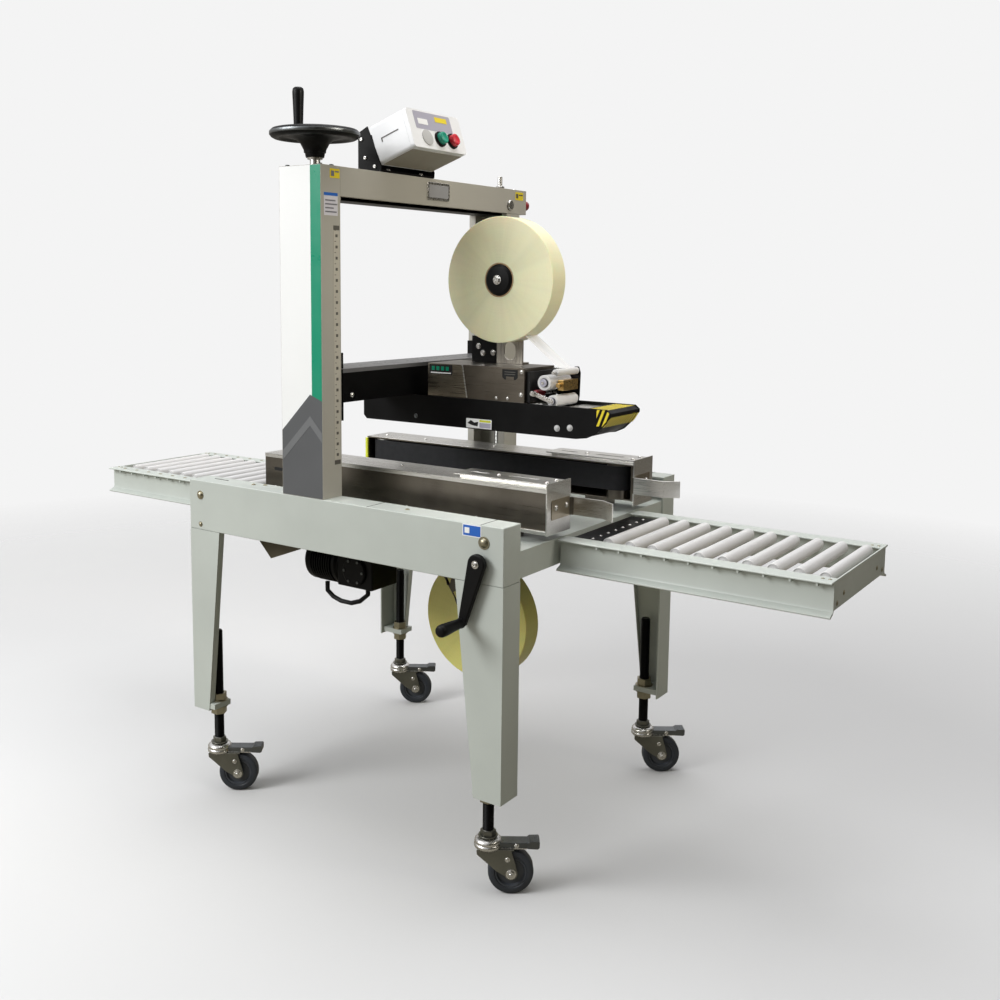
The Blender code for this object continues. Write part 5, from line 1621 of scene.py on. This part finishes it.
def apply_arm():
    """Arm with its far plate, slim near link, pins, brass spring block and guide roller."""
    pivot = (0.325, 1.066)
    apply = (0.349, 1.092)
    wipe = (0.372, 1.05)
    bar = (0.377, 1.117)
    plate = [
        (0.3175, 1.0585),
        (0.329, 1.054),
        (0.372, 1.0395),
        (0.383, 1.0415),
        (0.3855, 1.056),
        (0.3870, 1.112),
        (0.3820, 1.1265),
        (0.3720, 1.1265),
        (0.3430, 1.1055),
        (0.3175, 1.0745),
    ]
    arm = Shape().flat([plate], "y", 0.055, 0.058)
    arm.make("apply_arm_plate", "apply_arm", BLACK_PAINT, "stainless", 0.0006, ("apply_arm",))
    link = [*arc(pivot, 0.0075, 125, 295, 10), *arc(wipe, 0.007, -65, 105, 10)]
    fittings = Shape().flat([link], "y", -0.058, -0.0552)
    fittings.rod((pivot[0], -0.066, pivot[1]), (pivot[0], 0.066, pivot[1]), 0.0056, 24)
    for x, z in (apply, wipe, bar):
        fittings.rod((x, -0.0575, z), (x, 0.0575, z), 0.0039, 20)
    fittings.make("apply_arm_pins", "apply_arm", BRIGHT, "stainless", 0.0003)
    caps = Shape()
    for (x, z), radius in ((apply, 0.0095), (wipe, 0.0075)):
        caps.turned(
            [(0.004, -0.0535), (radius, -0.0535), (radius * 0.9, -0.0560), (0.004, -0.0560)],
            (x, 0, z),
            "y",
        )
    caps.make("roller_caps", "apply_arm", LILAC_FILM, "zinc", 0)
    brass = Shape().box((0.3685, 0.3845), (-0.02, 0.05), (1.073, 1.098))
    brass.rod((0.3765, -0.034, 1.086), (0.3765, -0.02, 1.086), 0.0055, 20)
    brass.make("apply_arm_brass", "apply_arm", BRASS, "stainless", 0.001)
    sleeve = Shape().rod((pivot[0], -0.05, pivot[1]), (pivot[0], -0.014, pivot[1]), 0.0078, 32)
    sleeve.make("apply_arm_red_sleeve", "apply_arm", RED_PLASTIC, "button_red", 0.0008)
    guide = [(0.0042, -0.046), (0.0085, -0.046), (0.0085, 0.052), (0.0042, 0.052)]
    Shape().turned(guide, (bar[0], 0, bar[1]), "y", 40).make(
        "tape_guide_roller",
        "apply_arm",
        ROLLER_WHITE,
        "roller_plastic",
        0,
    )
    for name, (x, z), radius in (("apply_roller", apply, 0.018), ("wipe_roller", wipe, 0.014)):
        half = 0.05
        ring = [
            (0.0044, -half + 0.003),
            (radius * 0.62, -half + 0.003),
            (radius * 0.66, -half),
            (radius - 0.0008, -half),
            (radius, -half + 0.0008),
        ]
        ring += [(r, -h) for r, h in reversed(ring)]
        Shape().turned(ring, (x, 0, z), "y", 64).make(
            f"{name}_tube",
            name,
            ROLLER_WHITE,
            "roller_plastic",
            0,
            (name,),
        )
        hub = [
            (0.0042, -half + 0.0012),
            (radius * 0.55, -half + 0.0012),
            (radius * 0.55, -half + 0.003),
            (0.0042, -half + 0.003),
        ]
        Shape().turned(hub, (x, 0, z), "y", 48).make(f"{name}_hub", name, HUB_GREY, "zinc", 0)


def tape_web():
    """The clear tape between the roll and the guide roller."""
    start = Vector((0.2815, 0, 1.1995))
    end = Vector((0.3775, 0, 1.1265))
    along = end - start
    normal = Vector((-along.z, 0, along.x)).normalized() * 0.00015
    count = 24
    upper = [start + along * step / count + normal for step in range(count + 1)]
    lower = [start + along * step / count - normal for step in range(count, -1, -1)]
    outline = [(point.x, point.z) for point in upper + lower]
    web = Shape().flat([outline], "y", -0.029, 0.027)
    piece = web.make("tape_web", None, CLEAR_FILM, "tape_film", 0)
    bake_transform(piece)


# ---------------------------------------------------------------- side belts


def belt_details():
    roof = 0.882
    for side, way in SIDES.items():
        unit = f"{side}_belt_unit"
        outer = way * 0.255
        lid = Shape().box((-0.366, 0.484), (way * 0.1532, way * 0.2562), (roof, roof + 0.0014))
        lid.box((-0.366, 0.484), (outer, way * 0.2562), (roof - 0.0085, roof + 0.0014))
        lid.make(f"{side}_belt_lid", unit, LID_STEEL, "stainless", 0.0004)
        plate = rounded((0.226, 0.484), tuple(sorted((way * 0.166, way * 0.246))), 0.004)
        slots = [
            slot_outline((0.395, way * 0.205), 0.082, 0.011),
            slot_outline((0.275, way * 0.205), 0.05, 0.009),
        ]
        top = Shape().flat([plate, *slots], "z", roof + 0.007, roof + 0.0098)
        top.box((0.24, 0.474), (way * 0.176, way * 0.182), (roof + 0.0014, roof + 0.007))
        top.box((0.24, 0.474), (way * 0.230, way * 0.236), (roof + 0.0014, roof + 0.007))
        top.box((0.4842, 0.4872), (way * 0.156, way * 0.2585), (0.7795, roof + 0.0125))
        top.make(f"{side}_belt_end_bracket", unit, LID_STEEL, "stainless", 0.0006)
        recess = Shape().flat(
            [rounded(tuple(sorted((way * 0.163, way * 0.240))), (0.812, 0.856), 0.003)],
            "x",
            0.4872,
            0.4888,
        )
        recess.make(f"{side}_belt_end_plate", unit, WARM_STEEL, "stainless", 0.0004)
        bolts = Shape()
        for y, z in ((0.222, 0.838), (0.176, 0.838)):
            bolts.dome((0.4888, way * y, z), (1, 0, 0), 0.0052, 0.0038)
        for x, y in ((0.328, 0.205), (0.468, 0.186), (0.468, 0.226)):
            bolts.dome((x, way * y, roof + 0.0098), (0, 0, 1), 0.005, 0.0036)
        for x in (-0.33, -0.19, 0.04):
            bolts.dome((x, way * 0.2, roof + 0.0014), (0, 0, 1), 0.0045, 0.0032)
        for x in (-0.33, -0.12, 0.1, 0.3):
            bolts.dome((x, outer, 0.797), (0, way, 0), 0.0035, 0.0022)
        bolts.make(f"{side}_belt_bolts", unit, BRIGHT, "zinc", 0)
        strip = Shape().box((0.418, 0.4842), (outer, way * 0.2582), (0.7815, 0.7895))
        strip.make(f"{side}_belt_lip_strip", unit, LID_STEEL, "stainless", 0.0004)
        # Flat black slot on the housing side: painted shade standing for the opening.
        slot = Shape().flat(
            [slot_outline((-0.319, 0.845), 0.03, 0.008)],
            "y",
            *sorted((outer, outer + way * SKIN)),
        )
        slot.make(f"{side}_belt_slot", unit, INK_AND_SHADE_BLACK, "stainless", 0)
        belt_guide(side, way, unit)
    bumper = Shape().box((-0.3715, -0.3635), (0.1503, 0.1562), (0.817, 0.878))
    bumper.make("far_belt_bumper", "far_belt_unit", YELLOW_RUBBER, "belt_rubber", 0.0008)
    bumper = Shape().box((-0.3715, -0.3635), (-0.1562, -0.1503), (0.817, 0.878))
    bumper.make("near_belt_bumper", "near_belt_unit", YELLOW_RUBBER, "belt_rubber", 0.0008)


def belt_guide(side, way, unit):
    """Flared guide strip at the infeed end, with a small hole in its bent end drawn as a dark disc: painted
    shade.
    """
    inner = 0.1496
    outer = 0.1534
    flare = 0.022
    bend = 0.567
    tip = 0.6024
    outline = [
        (0.4892, way * inner),
        (bend, way * inner),
        (tip, way * (inner + flare)),
        (tip - 0.001, way * (outer + flare)),
        (bend - 0.002, way * outer),
        (0.4892, way * outer),
    ]
    strip = Shape().flat([outline], "z", 0.8115, 0.8525)
    strip.make(f"{side}_guide_strip", unit, LID_STEEL, "stainless", 0.0006)
    run = Vector((tip - bend, way * flare, 0)).normalized()
    facing = Vector((-run.y, run.x, 0)) * way
    spot = Vector((bend + 0.019, way * (outer + flare * 0.54), 0.838))
    # Thin dark disc on the strip in place of an opening: painted shade.
    hole = Shape().rod(spot - facing * 0.0005, spot + facing * 0.0006, 0.003, 20)
    hole.make(f"{side}_guide_hole", unit, INK_AND_SHADE_BLACK, "stainless", 0)


# ---------------------------------------------------------------- under the bed


def drive_motor():
    y = -0.2
    z = 0.618
    profile = [
        (0, -0.24),
        (0.036, -0.24),
        (0.047, -0.2375),
        (0.0535, -0.231),
        (0.0550, -0.226),
        (0.0550, -0.212),
        (0.047, -0.210),
    ]
    for index in range(8):
        x = -0.2065 + index * 0.0078
        profile += [(0.047, x), (0.0560, x), (0.0560, x + 0.003), (0.047, x + 0.003)]
    profile += [
        (0.047, -0.1445),
        (0.0545, -0.1435),
        (0.0545, -0.134),
        (0.0490, -0.1285),
        (0.0490, -0.1255),
        (0, -0.1255),
    ]
    Shape().turned(profile, (0, y, z), "x", 96).make(
        "motor_shell",
        "frame",
        BLACK_PAINT,
        "black_paint",
        0,
        ("drive_motor",),
    )
    box = Shape().box((-0.1252, -0.012), (y - 0.05, y + 0.05), (z - 0.048, 0.7557))
    box.box((-0.225, -0.155), (y - 0.035, y + 0.035), (z + 0.045, z + 0.075))
    box.rod((-0.066, y - 0.0585, z - 0.004), (-0.066, y - 0.05, z - 0.004), 0.036, 48)
    box.make("motor_gearbox", "frame", BLACK_PAINT, "black_paint", 0.005)
    # Vent slots drawn as thin dark rods on the motor's end: painted shade in the openings.
    slots = Shape()
    for index in range(10):
        turn = math.tau * index / 10
        inner = Vector((-0.2402, y + 0.014 * math.cos(turn), z + 0.014 * math.sin(turn)))
        outer = Vector((-0.2402, y + 0.034 * math.cos(turn), z + 0.034 * math.sin(turn)))
        slots.rod(inner, outer, 0.0016, 8)
    slots.make("motor_vents", "frame", INK_AND_SHADE_BLACK, "black_paint", 0)
    bolts = Shape()
    for turn in range(0, 360, 60):
        x = -0.066 + 0.029 * math.cos(math.radians(turn))
        height = z - 0.004 + 0.029 * math.sin(math.radians(turn))
        bolts.bolt((x, y - 0.0585, height), (0, -1, 0), 0.0035, 0.0025)
    bolts.make("gearbox_bolts", "frame", DARK_ZINC, "zinc", 0)
    # Thin dark tan skin over the hanger plate's face: painted shade where the plate lies under the bed.
    plate = [(-0.3385, 0.7), (-0.3385, 0.6605), (-0.3, 0.6225), (-0.2, 0.6605), (-0.2, 0.7)]
    skin = Shape().flat([plate], "y", -0.3062, -0.3052)
    skin.make("hanger_plate_shade", "frame", UNDER_BED_SHADE_PAINT, "frame_paint", 0)


def lower_head():
    """Open-topped lower tape head with its brace plates, rollers and the roll's pin."""
    walls = Shape()
    for way in SIDES.values():
        walls.box((-0.029, 0.339), (way * 0.0417, way * 0.0447), (0.665, 0.764))
    for x in ((-0.029, -0.025), (0.32, 0.339)):
        walls.box(x, (-0.0417, 0.0417), (0.665, 0.7638))
    walls.box((-0.025, 0.32), (-0.0417, 0.0417), (0.665, 0.668))
    walls.make("lower_head_walls", "frame", BLACK_PAINT, "black_paint", 0.0008, ("lower_head",))
    outline = [
        (-0.02, 0.69),
        (0.1, 0.69),
        (0.161, 0.475),
        *arc((0.145, 0.472), 0.0165, 0, -180, 12),
        (0.129, 0.475),
    ]
    window = [(0.062, 0.585), (0.078, 0.600), (0.086, 0.588), (0.076, 0.558), (0.068, 0.556)]
    second = [(0.086, 0.540), (0.096, 0.546), (0.104, 0.520), (0.098, 0.512)]
    brace = Shape()
    for y in ((-0.0485, -0.0449), (0.0449, 0.0485)):
        brace.flat([outline, window, second], "y", *y)
    brace.make("roll_brace_plates", "frame", BRACE_PAINT, "black_paint", 0.0006)
    pin = Shape().rod((0.145, -0.052, 0.475), (0.145, 0.052, 0.475), 0.0079, 32)
    pin.make("lower_roll_pin", "frame", BRIGHT, "zinc", 0.0006)
    rollers = Shape()
    for x, z, radius in ((0.292, 0.744, 0.0155), (0.25, 0.722, 0.012), (0.03, 0.744, 0.0155)):
        rollers.rod((x, -0.0405, z), (x, 0.0405, z), radius, 48)
    rollers.make("lower_head_rollers", "frame", ROLLER_WHITE, "roller_plastic", 0.0008)


def lower_hub():
    """Black plastic hub inside the lower roll's core."""
    low, high = node_box("tape_roll_lower")
    profile = [
        (0.0083, low.y - 0.002),
        (0.033, low.y - 0.002),
        (0.0383, low.y + 0.003),
        (0.0383, high.y - 0.003),
        (0.033, high.y + 0.002),
        (0.0083, high.y + 0.002),
    ]
    hub = Shape().turned(profile, (0.145, 0, 0.475), "y", 64)
    hub.make("lower_tape_hub", "lower_roll", BLACK_PLASTIC, "black_plastic", 0)


def lead_screws():
    for side, way in SIDES.items():
        name = f"lead_screw_{side}"
        screw = threaded(-0.066, way * 0.382, 0.84, 1.488, 0.01, 0.004)
        screw.make(f"{name}_thread", name, ZINC, "zinc", 0, (name,), 60)


set_stage()
set_camera()
dress_frame()
column_livery()
column_scale()
panel_details()
leg_details()
casters()
conveyor("infeed", 1)
conveyor("exit", -1)
entry_plate()
infeed_rollers()
exit_rollers()
beam_details()
control_box()
handwheel()
crank()
crossarm_details()
head_details()
cartridge_details()
apply_arm()
tape_roll("upper_tape", "upper_roll", "tape_roll_upper", 0.0385, (0.83, 0.81, 0.55))
tape_roll("lower_tape", "lower_roll", "tape_roll_lower", 0.0385, (0.72, 0.68, 0.22))
roll_hub()
lower_hub()
tape_web()
belt_details()
drive_motor()
lower_head()
lead_screws()
